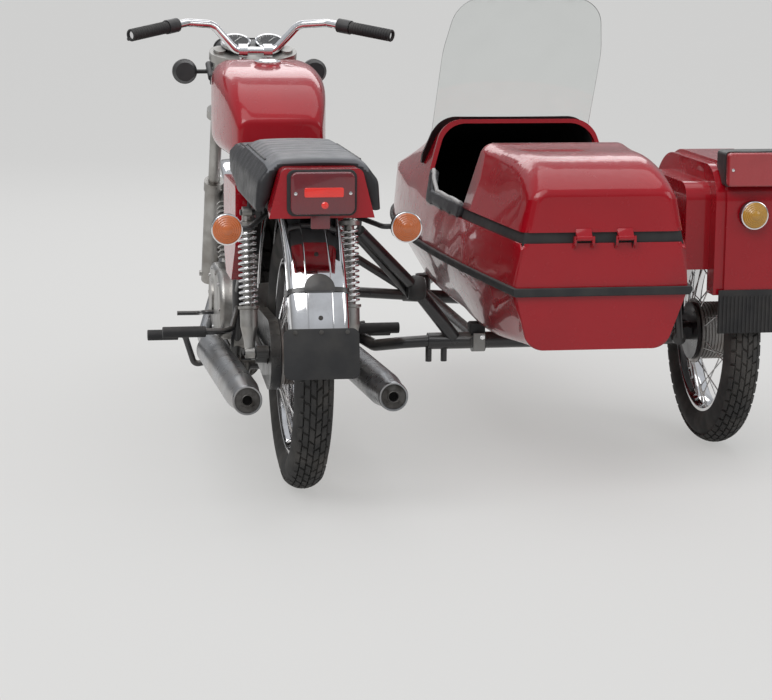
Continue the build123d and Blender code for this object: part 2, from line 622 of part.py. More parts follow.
lamp_along = 985.0
lamp_center = steer_point(0, fork_offset + 112, lamp_along - 20)
lamp_plane = Plane(origin=lamp_center, x_dir=(1, 0, 0), z_dir=(0, 1, 0))
bucket = loft([lamp_plane.offset(-92) * RectangleRounded(104, 80, 30),
               lamp_plane.offset(-40) * RectangleRounded(174, 124, 34),
               lamp_plane * RectangleRounded(188, 138, 30)])
bucket += extrude(lamp_plane * RectangleRounded(194, 144, 32), 10)
bucket -= extrude(lamp_plane.offset(-2) * RectangleRounded(176, 126, 24), 20)
for side in (-1, 1):
    ear = rod((side * 60, lamp_center.Y - 20, lamp_center.Z), (side * 110, lamp_center.Y - 20, lamp_center.Z), 9)
    bracket = rod((side * 112, lamp_center.Y - 20, lamp_center.Z), steer_point(side * 112, fork_offset, lamp_along), 9)
    band = steer_rod(side * fork_leg_x, fork_offset, lamp_along - 16, lamp_along + 16, 24)
    bucket += union([ear, bracket, band]) - steer_rod(side * fork_leg_x, fork_offset, 900, 1070, stanchion_radius)
parts["headlamp"] = bucket - parts["fork_yokes"]
glass = extrude(lamp_plane.offset(-2) * RectangleRounded(176, 126, 24), 12)
parts["headlamp_glass"] = fillet(glass.faces().sort_by(Axis.Y)[-1].edges(), 6)

clamp_point = steer_point(0, 14, upper_yoke_bottom + yoke_thickness + 26)
bar_half = [(0, clamp_point.Y, clamp_point.Z), (52, clamp_point.Y, clamp_point.Z),
            (118, clamp_point.Y - 16, clamp_point.Z + 72), (190, clamp_point.Y - 56, clamp_point.Z + 78),
            (bar_end_x, clamp_point.Y - 178, clamp_point.Z + 50)]
bar_points = [(-x, y, z) for x, y, z in bar_half[:0:-1]] + bar_half[1:]
handlebar = tube(bar_points, 40, bar_radius)
for side in (-1, 1):
    clamp = Pos(side * 34, clamp_point.Y, clamp_point.Z) * Rot(0, 90, 0) * Cylinder(19, 24)
    foot = rod(steer_point(side * 34, 14, upper_yoke_bottom + yoke_thickness), (side * 34, clamp_point.Y, clamp_point.Z), 11)
    handlebar += clamp + foot
parts["handlebar"] = handlebar

grips = []
controls = []
bar_end = Vector(*bar_half[-1])
bar_bend = Vector(*bar_half[-2])
inward = (bar_bend - bar_end).normalized()
for side in (-1, 1):
    def on_bar(distance, down=0.0, ahead=0.0):
        point = bar_end + inward * distance
        return Vector(side * point.X, point.Y + ahead, point.Z - down)
    bar_core = rod(on_bar(-20), on_bar(200), bar_radius)
    grips.append(rod(on_bar(-4), on_bar(grip_length), grip_radius) - rod(on_bar(0.0), on_bar(200), bar_radius))
    perch = rod(on_bar(grip_length + 2), on_bar(grip_length + 40), 19)
    perch += rod(on_bar(grip_length + 20), on_bar(grip_length + 20, 4, 40), 9)
    blade = tube([on_bar(grip_length + 20, 4, 38), on_bar(grip_length - 20, 6, 58), on_bar(-8, 12, 62)], 20, 5)
    controls.append(union([perch, blade]) - bar_core)
parts["grips"] = Compound(grips)
parts["hand_controls"] = Compound(controls)

gauges = []
gauge_plane = Plane(origin=clamp_point + Vector(0, 66, 14), x_dir=(1, 0, 0), z_dir=(0, -0.5, 1))
for side in (-1, 1):
    gauges.append(extrude(gauge_plane * Pos(side * 47, 0) * Circle(40), 10)
                  + extrude(gauge_plane * Pos(side * 47, 0) * Circle(34), -48))
bridge = extrude(gauge_plane.offset(-34) * Rectangle(60, 26), 10)
gauge_foot = rod(gauge_plane.from_local_coords(Vector(0, 0, -28)), steer_point(0, 30, upper_yoke_bottom + yoke_thickness), 9)
instruments = union(gauges + [bridge, gauge_foot]) - parts["headlamp"] - parts["fork_yokes"]
instruments = instruments - parts["fork_legs"] - parts["handlebar"]
parts["instruments"] = instruments.solids().sort_by(SortBy.VOLUME)[-1]

front_shells = []
front_lenses = []
for side in (-1, 1):
    x = side * 182
    y = lamp_center.Y - 50
    z = lamp_center.Z - 18
    front = Plane(origin=(x, y, z), x_dir=(1, 0, 0), z_dir=(0, 1, 0))
    shell = extrude(front * Circle(indicator_radius), -16)
    shell += Pos(x, y - 24, z) * Rot(-90, 0, 0) * Cone(indicator_radius - 8, indicator_radius, 18)
    shell += rod((x - side * 20, y - 14, z), (side * 118, y - 6, z), 6)
    shell += rod((side * 118, y - 6, z), (side * 112, lamp_center.Y - 34, lamp_center.Z - 4), 6)
    lens = extrude(front * Circle(indicator_radius - 1.5), 14)
    front_lenses.append(chamfer(lens.faces().sort_by(Axis.Y)[-1].edges(), 5))
    front_shells.append(shell - parts["headlamp"])
parts["front_indicators"] = Compound([piece.solids().sort_by(SortBy.VOLUME)[-1] for piece in front_shells])
parts["front_lenses"] = Compound(front_lenses)

# Sidecar body: one shape through cross-sections from the flat tail to the nose, hollowed to its
# wall and split into the tub and the luggage lid, with the cockpit cut out between.

# y, bottom z, bottom half width, belt half width, shoulder half width and z, top half width and z,
# radius of the top corners
body_stations = [
    (-252, 362, 146, 203, 194, 613, 168, 726, 44),
    (40, 345, 168, 236, 224, 613, 166, 794, 44),
    (330, 338, 178, 262, 247, 613, 190, 802, 44),
    (640, 338, 182, 276, 258, 616, 196, 812, 70),
    (920, 342, 178, 270, 252, 626, 168, 772, 60),
    (1270, 372, 146, 226, 214, 638, 116, 704, 44),
    (1500, 418, 98, 150, 140, 606, 70, 644, 35),
    (1590, 458, 52, 84, 78, 568, 42, 592, 21),
]


def body_block(inset):
    """The whole sidecar shape, drawn in all round by inset."""
    sections = []
    for index, (y, bottom, low, middle, shoulder, shoulder_z, high, top, round_top) in enumerate(body_stations):
        if index == 0:
            y += inset
        if index == len(body_stations) - 1:
            y -= inset
        half = [(low - inset * 0.6, bottom + inset), (middle - inset, belt_z), (shoulder - inset, shoulder_z),
                (high - inset * 0.8, top - inset)]
        points = half + [(-x, z) for x, z in reversed(half)]
        face = make_face(Polyline(*points, close=True))
        low_corners = face.vertices().sort_by(Axis.Y)[:2]
        face = fillet(low_corners, min(46, low * 0.5))
        top_corners = face.vertices().sort_by(Axis.Y)[-2:]
        face = fillet(top_corners, round_top)
        plane = Plane(origin=(side_x, y, 0), x_dir=(1, 0, 0), z_dir=(0, -1, 0))
        sections.append(plane * face)
    return loft(sections)


def slab(low, high):
    """All of space near the sidecar between two heights."""
    return Pos(side_x, 700, (low + high) / 2) * Box(900, 2200, high - low)


def body_band(outward, inward, region):
    """A skin that follows the sidecar's shape between two insets, kept inside a region."""
    return (body_block(outward) & region) - (body_block(inward) & region)


tail_round = 26.0
body_outer = body_block(0)
tail_edges = body_outer.faces().sort_by(Axis.Y)[0].edges()
body_outer = fillet(tail_edges.filter_by(lambda edge: edge.center().Z > lid_gap_high), tail_round)
body_inner = body_block(body_wall)
shell = body_outer - body_inner
cockpit = side_slab([(lid_front_y, lid_gap_low), (hoop_y - 85, lid_gap_low), (hoop_y - 20, 700),
                     (hoop_y, 760), (hoop_y + 10, 900), (lid_front_y, 900)], side_x - 400, side_x + 400)
boot_cut = side_slab([(-400, lid_gap_low), (lid_front_y + 1, lid_gap_low), (lid_front_y + 1, 900), (-400, 900)],
                     side_x - 400, side_x + 400)
bulkhead_y = lid_front_y + 6
bulkhead = body_outer & (Pos(side_x, bulkhead_y, 365) * Box(800, body_wall, 2 * (lid_gap_low - 365)))
bulkhead += Pos(side_x, bulkhead_y, 660) * Box(400, body_wall, 150)
plinth = Pos(side_x, 395, 362) * Box(330, 270, 46)
plinth -= Pos(side_x, 395, 358) * Box(322, 262, 46)
sidecar_body = union([shell - cockpit - boot_cut, bulkhead, plinth])
parts["sidecar_body"] = sidecar_body

lid_room = side_slab([(-400, lid_gap_high), (lid_front_y, lid_gap_high), (lid_front_y, 900), (-400, 900)],
                     side_x - 400, side_x + 400)
lid_front = body_outer & (Pos(side_x, lid_front_y - body_wall / 2, 760) * Box(800, body_wall, 400))
boot_lid = (shell + lid_front) & lid_room
hinge_y = -262.0
hinge_z = 622.5
hinge_x = 49.0
hinge_half = 18.0
for offset_x in (-hinge_x, hinge_x):
    strap = side_slab([(hinge_y - 5, hinge_z), (hinge_y + 5, hinge_z), (-246, 642), (-251, 646), (-256, 642)],
                      side_x + offset_x - hinge_half, side_x + offset_x + hinge_half)
    knuckle = rod((side_x + offset_x - hinge_half, hinge_y, hinge_z),
                  (side_x + offset_x + hinge_half, hinge_y, hinge_z), 6)
    pin_bore = rod((side_x + offset_x - hinge_half - 6, hinge_y, hinge_z),
                   (side_x + offset_x + hinge_half + 6, hinge_y, hinge_z), 2.5 + running_fit)
    boot_lid += (strap + knuckle - body_inner)
    boot_lid -= pin_bore
    pin = rod((side_x + offset_x - hinge_half - 6, hinge_y, hinge_z),
              (side_x + offset_x + hinge_half + 6, hinge_y, hinge_z), 2.5)
    ears = []
    for end in (-hinge_half - 6, hinge_half + 0.3):
        ears.append(side_slab([(hinge_y - 5, hinge_z + 5), (hinge_y + 5, hinge_z + 5), (-251, 609), (-251, 600),
                               (-255, 598), (hinge_y - 5, 612)],
                              side_x + offset_x + end, side_x + offset_x + end + 5.7))
    parts["sidecar_body"] += union([pin] + ears) - body_inner
parts["boot_lid"] = boot_lid

seal_low = lid_gap_low - 6
seal_high = lid_gap_high - 0.3
seal = body_band(5, 13, side_slab([(-400, seal_low), (lid_front_y - 5, seal_low), (lid_front_y - 5, seal_high),
                                   (-400, seal_high)], side_x - 400, side_x + 400))
parts["boot_seal"] = seal - parts["sidecar_body"]

parts["belt_strip"] = body_band(-belt_proud, 0, slab(belt_z - belt_height / 2, belt_z + belt_height / 2))

# Cockpit edge padding, the windscreen with its rubber, and the seat inside.

edge_height = 34.0
edge_top = lid_gap_low + edge_height
edge_rear = bulkhead_y + body_wall / 2
edge_room = side_slab([(edge_rear, lid_gap_low), (hoop_y - 85, lid_gap_low), (hoop_y - 28, 689.5),
                       (hoop_y - 60, 689.5), (hoop_y - 106, edge_top), (edge_rear, edge_top)],
                      side_x - 400, side_x + 400)
edge = body_band(-6, 16, edge_room)
parts["cockpit_edge"] = edge - parts["sidecar_body"]

hoop_room = side_slab([(hoop_y - 40, 690), (hoop_y - 24, 690), (hoop_y + 26, 900), (hoop_y + 10, 900)],
                      side_x - 400, side_x + 400)
parts["dash_hoop"] = body_band(-7, body_wall, hoop_room) - parts["sidecar_body"]

screen_radius = 800.0
screen_wall = 3.5
screen_lean = 31.0
screen_tip = 1141.0
screen_foot_y = 798.0
screen_foot_z = 740.0
screen_axis_y = screen_foot_y - screen_radius / math.cos(math.radians(screen_lean))
screen_axis = Pos(side_x, screen_axis_y, screen_foot_z) * Rot(screen_lean, 0, 0)


def screen_shell(inner, outer):
    return screen_axis * (Cylinder(outer, 1300) - Cylinder(inner, 1300))


screen_corners = [(-216, 690), (216, 690), (214, 1000), (188, screen_tip), (-188, screen_tip), (-214, 1000)]
screen_face = make_face(Polyline(*screen_corners, close=True))
for corner, radius in zip(screen_corners[2:], (300, 80, 80, 300)):
    screen_face = fillet(screen_face.vertices().sort_by_distance(Vector(*corner))[0], radius)
screen_plane = Plane(origin=(side_x, 400, 0), x_dir=(1, 0, 0), z_dir=(0, -1, 0))
screen_prism = extrude(screen_plane * screen_face, -700)
screen = (screen_shell(screen_radius - screen_wall, screen_radius) & screen_prism) - body_outer
screen = screen - slab(0, 700)
parts["windscreen"] = screen
seal_prism = extrude(screen_plane * (Pos(0, 900) * Rectangle(470, 420)), -700)
rubber_room = screen_shell(screen_radius - 9, screen_radius + 5) & seal_prism
rubber = body_band(-15, 0, rubber_room)
parts["windscreen_rubber"] = rubber - screen

seat_room = body_block(9)
cushion = seat_room & (Pos(side_x, 395, 435) * Box(420, 300, 150))
cushion = cushion - (Pos(side_x, 395, 360) * Box(900, 400, 50.6))
seat_back_y = bulkhead_y + body_wall / 2 + 0.3
back = side_slab([(seat_back_y, 480), (seat_back_y + 68, 480), (seat_back_y + 36, 736), (seat_back_y, 744)],
                 side_x - 176, side_x + 176)
cushion_top = 470.0
cushion = cushion & slab(300, cushion_top)
parts["sidecar_seat"] = Compound([cushion, back])

# Sidecar chassis: two long tubes and two cross tubes under the floor, with rubber blocks that carry
# the body, and the four links to the bike's frame.

rear_cross_y = 262.0
front_cross_y = 980.0
wheel_side_x = 1006.0
chassis_left = side_x - chassis_x
chassis_right = side_x + chassis_x
chassis = []
for x in (chassis_left, chassis_right):
    chassis.append(tube([(x, -120, chassis_z), (x, 1120, chassis_z), (side_x + (x - side_x) * 0.5, 1290, chassis_z + 16)],
                        120, chassis_radius))
chassis.append(rod((side_x - chassis_x * 0.5, 1290, chassis_z + 16), (side_x + chassis_x * 0.5, 1290, chassis_z + 16), 17))
chassis.append(rod((360, rear_cross_y, chassis_z), (wheel_side_x, rear_cross_y, chassis_z), 21))
chassis.append(rod((chassis_left - 60, front_cross_y, chassis_z), (wheel_side_x, front_cross_y - 240, chassis_z), 18))
chassis.append(rod((wheel_side_x, rear_cross_y - 40, chassis_z), (wheel_side_x, front_cross_y - 200, chassis_z), 17))
for x in (chassis_left, chassis_right):
    for y in (60, 1000):
        chassis.append(Pos(x, y, 327) * Cylinder(22, 46))
for x in (363, 402):
    chassis.append(Pos(x, rear_cross_y, 262) * Cylinder(8, 40))
chassis.append(Pos(chassis_left + 4, rear_cross_y, chassis_z) * Rot(0, 90, 0) * Cylinder(29, 32))
chassis_frame = union(chassis)

ball = (316.0, 196.0, 440.0)
plate = side_slab([(shock_high[0] - 12, shock_high[1] + 10), (shock_high[0] + 12, shock_high[1] + 10), (70, 572),
                   (48, 572)], link_plate_x, link_plate_x + 7)
upper_link = union([plate, rod((link_plate_x + 4, 44, 606), ball, 14),
                    rod((link_plate_x + 4, 60, 584), (300, 214, 424), 8), Pos(*ball) * Rot(0, 90, 0) * Cylinder(26, 44),
                    rod(ball, (424, rear_cross_y - 6, 306), 17)])
lower_link = tube([(98, 466, 318), (170, 400, 308), (235, 325, 274), (300, 270, 290), (362, rear_cross_y, chassis_z)],
                  25, 15)
front_low_link = tube([(62, 903, 336), (92, 954, 326), (140, 966, 318), (chassis_left - 56, front_cross_y, chassis_z)],
                      18, 15)
front_high_link = rod((44, 931, 560), (chassis_left - 40, front_cross_y - 4, chassis_z + 8), 12)
sidecar_links = []
for link in (upper_link, lower_link, front_low_link, front_high_link):
    link = link - chassis_frame - parts["main_frame"] - parts["seat_rails"]
    sidecar_links.append(link.solids().sort_by(SortBy.VOLUME)[-1])
sidecar_links[3] = sidecar_links[3] - sidecar_links[2]
parts["sidecar_links"] = Compound(sidecar_links)

# Sidecar wheel carrier: a trailing arm with the stub axle, its brake plate and its spring leg.

stub_inner = side_wheel_x - hub_width / 2 - plate_gap
arm_x = 1052.0
carrier = [
    rod((wheel_side_x - 26, 720, chassis_z), (arm_x + 12, 720, chassis_z), 24),
    tube([(arm_x, 720, chassis_z), (arm_x, 560, chassis_z + 6), (arm_x, side_wheel_y - 34, side_tyre_radius)], 90, 15),
    rod((arm_x - 14, side_wheel_y, side_tyre_radius), (stub_inner - 9, side_wheel_y, side_tyre_radius), 24),
    rod((stub_inner - 9, side_wheel_y, side_tyre_radius), (stub_inner, side_wheel_y, side_tyre_radius),
        hub_drum_radius),
    rod((arm_x - 10, side_wheel_y, side_tyre_radius), (side_wheel_x + hub_width / 2 + 12, side_wheel_y, side_tyre_radius),
        axle_radius),
    rod((side_wheel_x + hub_width / 2 + 1, side_wheel_y, side_tyre_radius),
        (side_wheel_x + hub_width / 2 + 14, side_wheel_y, side_tyre_radius), 15),
]
leg_low = (1034.0, side_wheel_y + 10, side_tyre_radius + 18)
leg_high = (1022.0, side_wheel_y - 30, 560.0)
carrier.append(rod(leg_low, leg_high, 12))
carrier.append(rod(Vector(*leg_low) + Vector(-1, -4, 26), Vector(*leg_high) + Vector(1, 4, -30), 21))
carrier.append(rod((arm_x - 30, leg_low[1], leg_low[2]), (arm_x + 8, leg_low[1], leg_low[2] - 6), 13))
carrier.append(rod((leg_high[0] - 16, leg_high[1], leg_high[2]), (leg_high[0] + 14, leg_high[1], leg_high[2]), 15))
tower = tube([(wheel_side_x, 225, chassis_z), (wheel_side_x - 4, 250, 420), (leg_high[0] - 14, leg_high[1], leg_high[2])],
             60, 11)
parts["sidecar_chassis"] = (chassis_frame + tower) - parts["sidecar_body"]
parts["sidecar_arm"] = union(carrier) - parts["sidecar_chassis"]

# Sidecar mudguard: a tall flat-backed sheet shell with a raised band over its crown and a lower
# step on the body's side, with its flap, lamps and stay.

guard_front_y = 735.0
guard_sheet_side = 3.0
band_half = 70.0
band_rise = 8.0
step_drop = 52.0
step_reach = 62.0


def guard_outline(grow, floor):
    """The mudguard's side outline as a face, made larger by grow and cut off level at floor."""
    back = side_guard_rear_y - grow
    top = side_guard_top_z + grow
    front = guard_front_y + grow
    corners = [(back, floor), (back, top), (500 + grow * 0.5, top), (front, 520), (front, floor)]
    face = make_face(Polyline(*corners, close=True))
    for corner, radius in zip(corners[1:4], (96, 190, 120)):
        vertex = face.vertices().sort_by_distance(Vector(*corner))[0]
        face = fillet(vertex, max(radius + grow, 12))
    return face


def guard_block(x_low, x_high, grow, floor):
    """The solid between two planes across the outfit with the mudguard's side outline."""
    return extrude(Plane.YZ.offset(x_low) * guard_outline(grow, floor), x_high - x_low)


def guard_shell(x_low, x_high, grow, sheet):
    """A sheet shell with the mudguard's outline, open below."""
    outer = guard_block(x_low, x_high, grow, side_guard_low_z)
    inner = guard_block(x_low + sheet, x_high - sheet, grow - sheet, side_guard_low_z - 1)
    return outer - inner


guard_left = side_wheel_x - side_guard_half
guard_right = side_wheel_x + side_guard_half
guard = guard_shell(guard_left, guard_right, -band_rise, guard_sheet_side)
band = guard_block(side_wheel_x - band_half, side_wheel_x + band_half, 0, side_guard_low_z)
band -= guard_block(side_wheel_x - band_half - 1, side_wheel_x + band_half + 1, -band_rise - 0.5,
                    side_guard_low_z - 1)
step = guard_shell(guard_left - step_reach, guard_left + guard_sheet_side, -step_drop, guard_sheet_side)
step -= Pos(guard_left - 30, 400, side_guard_low_z - 2) * Box(200, 900, 120)
guard = guard + band + step
guard -= guard_block(guard_left - 1, guard_left + guard_sheet_side + 1, -step_drop - 9, side_guard_low_z - 1)
guard_stay = rod((wheel_side_x - 2, 288, 530), (wheel_side_x - 2, 288, side_guard_top_z - 40), 8)
guard_stay = (guard_stay - parts["sidecar_arm"] - guard).solids().sort_by(Axis.Z)[0]
parts["sidecar_chassis"] += guard_stay
guard = guard - parts["sidecar_chassis"] - parts["sidecar_arm"]
parts["sidecar_mudguard"] = guard.solids().sort_by(SortBy.VOLUME)[-1]

side_flap_top = 446.0
side_flap_bottom = 338.0
ribs = [side_slab([(side_guard_rear_y - 4, side_flap_bottom), (side_guard_rear_y, side_flap_bottom),
                   (side_guard_rear_y, side_flap_top), (side_guard_rear_y - 4, side_flap_top)],
                  side_wheel_x - 84, side_wheel_x + 84)]
rib_count = 17
for index in range(rib_count):
    x = side_wheel_x - 80 + 160 * index / (rib_count - 1)
    ribs.append(Pos(x, side_guard_rear_y - 5, 385) * Box(4, 3, 90))
parts["sidecar_mudflap"] = union(ribs) - parts["sidecar_mudguard"]

side_lamp_z = 745.0
side_lamp_y = side_guard_rear_y - 8
side_lamp = Plane(origin=(side_wheel_x - 6, side_lamp_y, side_lamp_z), x_dir=(1, 0, 0), z_dir=(0, 1, 0))
housing = extrude(side_lamp * RectangleRounded(150, 86, 10), 64)
housing -= parts["sidecar_mudguard"]
housing -= guard_block(side_wheel_x - 200, side_wheel_x + 200, -4, 400)
parts["side_lamp_housing"] = housing.solids().sort_by(SortBy.VOLUME)[-1]
lens = extrude(side_lamp * RectangleRounded(146, 82, 9), -22)
parts["side_lamp_lens"] = fillet(lens.faces().sort_by(Axis.Y)[0].edges(), 5)
shell, lens = indicator(side_wheel_x - 4, side_guard_rear_y - 14.3, 632, 14)
shell = extrude(Plane(origin=(side_wheel_x - 4, side_guard_rear_y - 0.2, 632), x_dir=(1, 0, 0), z_dir=(0, 1, 0))
                * Circle(indicator_radius), -14)
lenses.append(lens)
parts["indicator_shells"] = Compound([piece.solids().sort_by(SortBy.VOLUME)[-1] for piece in shells] + [shell])
parts["indicator_lenses"] = Compound(lenses)

# The middle of the footprint goes to zero, and each piece is written out.

outermost = ["grips", "hand_controls", "front_tyre", "exhausts", "tail_lamp", "rear_mudflap", "sidecar_arm",
             "sidecar_mudguard"]
boxes = [parts[name].bounding_box() for name in outermost]
middle_x = (min(box.min.X for box in boxes) + max(box.max.X for box in boxes)) / 2
middle_y = (min(box.min.Y for box in boxes) + max(box.max.Y for box in boxes)) / 2
os.makedirs("parts", exist_ok=True)
for name, shape in parts.items():
    export_step(Pos(-middle_x, -middle_y, 0) * shape, "parts/" + name + ".step")
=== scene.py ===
import json
import math
import bpy
import bmesh
from mathutils import Matrix, Vector

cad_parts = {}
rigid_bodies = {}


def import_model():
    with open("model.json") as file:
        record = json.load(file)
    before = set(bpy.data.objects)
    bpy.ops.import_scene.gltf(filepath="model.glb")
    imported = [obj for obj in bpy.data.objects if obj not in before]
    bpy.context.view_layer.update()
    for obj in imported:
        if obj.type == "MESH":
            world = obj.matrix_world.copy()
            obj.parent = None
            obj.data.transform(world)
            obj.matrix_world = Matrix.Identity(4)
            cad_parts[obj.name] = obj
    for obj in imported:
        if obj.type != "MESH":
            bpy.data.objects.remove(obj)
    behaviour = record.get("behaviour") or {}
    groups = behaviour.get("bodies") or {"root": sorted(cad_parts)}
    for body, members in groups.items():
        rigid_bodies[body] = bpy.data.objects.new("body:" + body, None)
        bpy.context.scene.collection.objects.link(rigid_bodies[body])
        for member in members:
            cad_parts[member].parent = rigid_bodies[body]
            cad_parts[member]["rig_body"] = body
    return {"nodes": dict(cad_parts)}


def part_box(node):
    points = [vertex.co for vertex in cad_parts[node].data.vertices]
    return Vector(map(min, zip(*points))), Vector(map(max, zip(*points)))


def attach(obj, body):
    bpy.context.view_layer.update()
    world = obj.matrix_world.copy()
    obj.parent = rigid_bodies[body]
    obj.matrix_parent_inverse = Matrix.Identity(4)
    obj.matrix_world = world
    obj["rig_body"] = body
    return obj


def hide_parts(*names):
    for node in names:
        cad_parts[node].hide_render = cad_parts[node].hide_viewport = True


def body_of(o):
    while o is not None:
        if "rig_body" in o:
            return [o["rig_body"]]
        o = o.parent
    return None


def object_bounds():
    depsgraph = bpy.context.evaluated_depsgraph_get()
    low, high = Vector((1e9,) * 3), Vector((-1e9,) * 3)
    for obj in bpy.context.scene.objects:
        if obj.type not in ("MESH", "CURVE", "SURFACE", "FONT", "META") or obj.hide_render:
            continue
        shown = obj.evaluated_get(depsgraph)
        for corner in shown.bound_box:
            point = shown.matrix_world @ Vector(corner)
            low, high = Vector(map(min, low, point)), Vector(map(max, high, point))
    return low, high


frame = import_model()
cad_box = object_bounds()
nodes = frame["nodes"]

# The stage: a plain pale floor under soft studio lamps, with the camera behind the bike and a
# little above its lamps. Places are given in millimetres from the ground under the rear axle.

tyre_low, tyre_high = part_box("rear_tyre")
axle_foot = Vector(((tyre_low.x + tyre_high.x) / 2, (tyre_low.y + tyre_high.y) / 2, 0))


def bike(x, y, z):
    """A point from millimetres across, along and above the ground under the rear axle."""
    return axle_foot + Vector((x, y, z)) / 1000


camera_yaw = 0.1689
camera_pitch = 0.1868
camera_roll = 0.0094
ahead = Vector((math.sin(camera_yaw), math.cos(camera_yaw), 0))
side = Vector((math.cos(camera_yaw), -math.sin(camera_yaw), 0))
up = Vector((0, 0, 1))
sight = ahead * math.cos(camera_pitch) - up * math.sin(camera_pitch)
lift = up * math.cos(camera_pitch) + ahead * math.sin(camera_pitch)
camera_x = side * math.cos(camera_roll) + lift * math.sin(camera_roll)
camera_y = lift * math.cos(camera_roll) - side * math.sin(camera_roll)
bpy.ops.object.camera_add()
camera = bpy.context.object
eye = bike(-658.6, -5090.9, 1299.6)
camera.matrix_world = (Matrix.Translation(eye)
                       @ Matrix((camera_x, camera_y, -sight)).transposed().to_4x4())
camera.data.sensor_width = 36
camera.data.lens = 102.6
camera.data.clip_end = 200
bpy.context.scene.camera = camera

bpy.ops.mesh.primitive_plane_add(size=80)
floor = bpy.context.object
floor.name = "floor"
floor_paint = bpy.data.materials.new("floor_paint")
floor_paint.use_nodes = True
floor_tree = floor_paint.node_tree
floor_shader = floor_tree.nodes["Principled BSDF"]
floor_shader.inputs["Base Color"].default_value = (0.60, 0.595, 0.585, 1)
floor_shader.inputs["Roughness"].default_value = 0.9
pale = floor_tree.nodes.new("ShaderNodeEmission")
studio_pale = (0.74, 0.735, 0.72, 1)
pale.inputs["Color"].default_value = studio_pale
rays = floor_tree.nodes.new("ShaderNodeLightPath")
seen = rays.outputs["Is Camera Ray"]
for ray in ("Is Glossy Ray", "Is Transmission Ray"):
    either = floor_tree.nodes.new("ShaderNodeMath")
    either.operation = "MAXIMUM"
    floor_tree.links.new(seen, either.inputs[0])
    floor_tree.links.new(rays.outputs[ray], either.inputs[1])
    seen = either.outputs[0]
share = floor_tree.nodes.new("ShaderNodeMath")
share.operation = "MULTIPLY"
evened_share = 0.6
share.inputs[1].default_value = evened_share
floor_tree.links.new(seen, share.inputs[0])
evened = floor_tree.nodes.new("ShaderNodeMixShader")
floor_tree.links.new(share.outputs[0], evened.inputs[0])
floor_tree.links.new(floor_shader.outputs[0], evened.inputs[1])
floor_tree.links.new(pale.outputs[0], evened.inputs[2])
floor_tree.links.new(evened.outputs[0], floor_tree.nodes["Material Output"].inputs["Surface"])
floor.data.materials.append(floor_paint)

middle = (cad_box[0] + cad_box[1]) / 2
# name, x, y, z in metres, width, height, power
lamps = [
    ("key_lamp", -3.2, -3.4, 4.6, 3.2, 2.4, 85),
    ("fill_lamp", 4.4, -3.2, 3.0, 2.6, 2.0, 34),
    ("top_lamp", 0.4, 0.6, 4.8, 4.5, 3.2, 55),
    ("far_lamp", 0.5, 5.0, 3.6, 5.0, 2.0, 55),
]
for name, x, y, z, wide, high, power in lamps:
    bpy.ops.object.light_add(type="AREA", location=(x, y, z))
    lamp = bpy.context.object
    lamp.name = name
    lamp.data.shape = "RECTANGLE"
    lamp.data.size = wide
    lamp.data.size_y = high
    lamp.data.energy = power
    lamp.rotation_euler = (middle - lamp.location).to_track_quat("-Z", "Y").to_euler()

bpy.ops.object.light_add(type="SUN", location=(-2, -2, 6))
window_light = bpy.context.object
window_light.name = "window_light"
window_light.data.energy = 1.0
window_light.data.angle = math.radians(50)
window_light.rotation_euler = (math.radians(28), math.radians(-20), 0)

world = bpy.data.worlds.new("studio")
bpy.context.scene.world = world
world.use_nodes = True
sky_tree = world.node_tree
sky = sky_tree.nodes["Background"]
sky_place = sky_tree.nodes.new("ShaderNodeTexCoord")
sky_split = sky_tree.nodes.new("ShaderNodeSeparateXYZ")
sky_ramp = sky_tree.nodes.new("ShaderNodeValToRGB")
sky_ramp.color_ramp.elements[0].position = 0.0
sky_ramp.color_ramp.elements[0].color = (0.36, 0.36, 0.36, 1)
sky_ramp.color_ramp.elements[1].position = 0.45
sky_ramp.color_ramp.elements[1].color = (0.92, 0.95, 1.0, 1)
sky_tree.links.new(sky_place.outputs["Generated"], sky_split.inputs[0])
sky_tree.links.new(sky_split.outputs["Z"], sky_ramp.inputs[0])
sky_tree.links.new(sky_ramp.outputs[0], sky.inputs["Color"])
sky.inputs["Strength"].default_value = 0.55
pale_sky = sky_tree.nodes.new("ShaderNodeBackground")
pale_sky.inputs["Color"].default_value = studio_pale
sky_rays = sky_tree.nodes.new("ShaderNodeLightPath")
evened_sky = sky_tree.nodes.new("ShaderNodeMixShader")
sky_tree.links.new(sky_rays.outputs["Is Camera Ray"], evened_sky.inputs[0])
sky_tree.links.new(sky.outputs[0], evened_sky.inputs[1])
sky_tree.links.new(pale_sky.outputs[0], evened_sky.inputs[2])
sky_tree.links.new(evened_sky.outputs[0], sky_tree.nodes["World Output"].inputs["Surface"])
bpy.context.scene.view_settings.view_transform = "Standard"

# The bike's frame: steel tubes, brazed and stove-enamelled black. The swing arm, its chain case
# and the centre stand have the same enamel, with road dust on what faces up.

finishes = {}


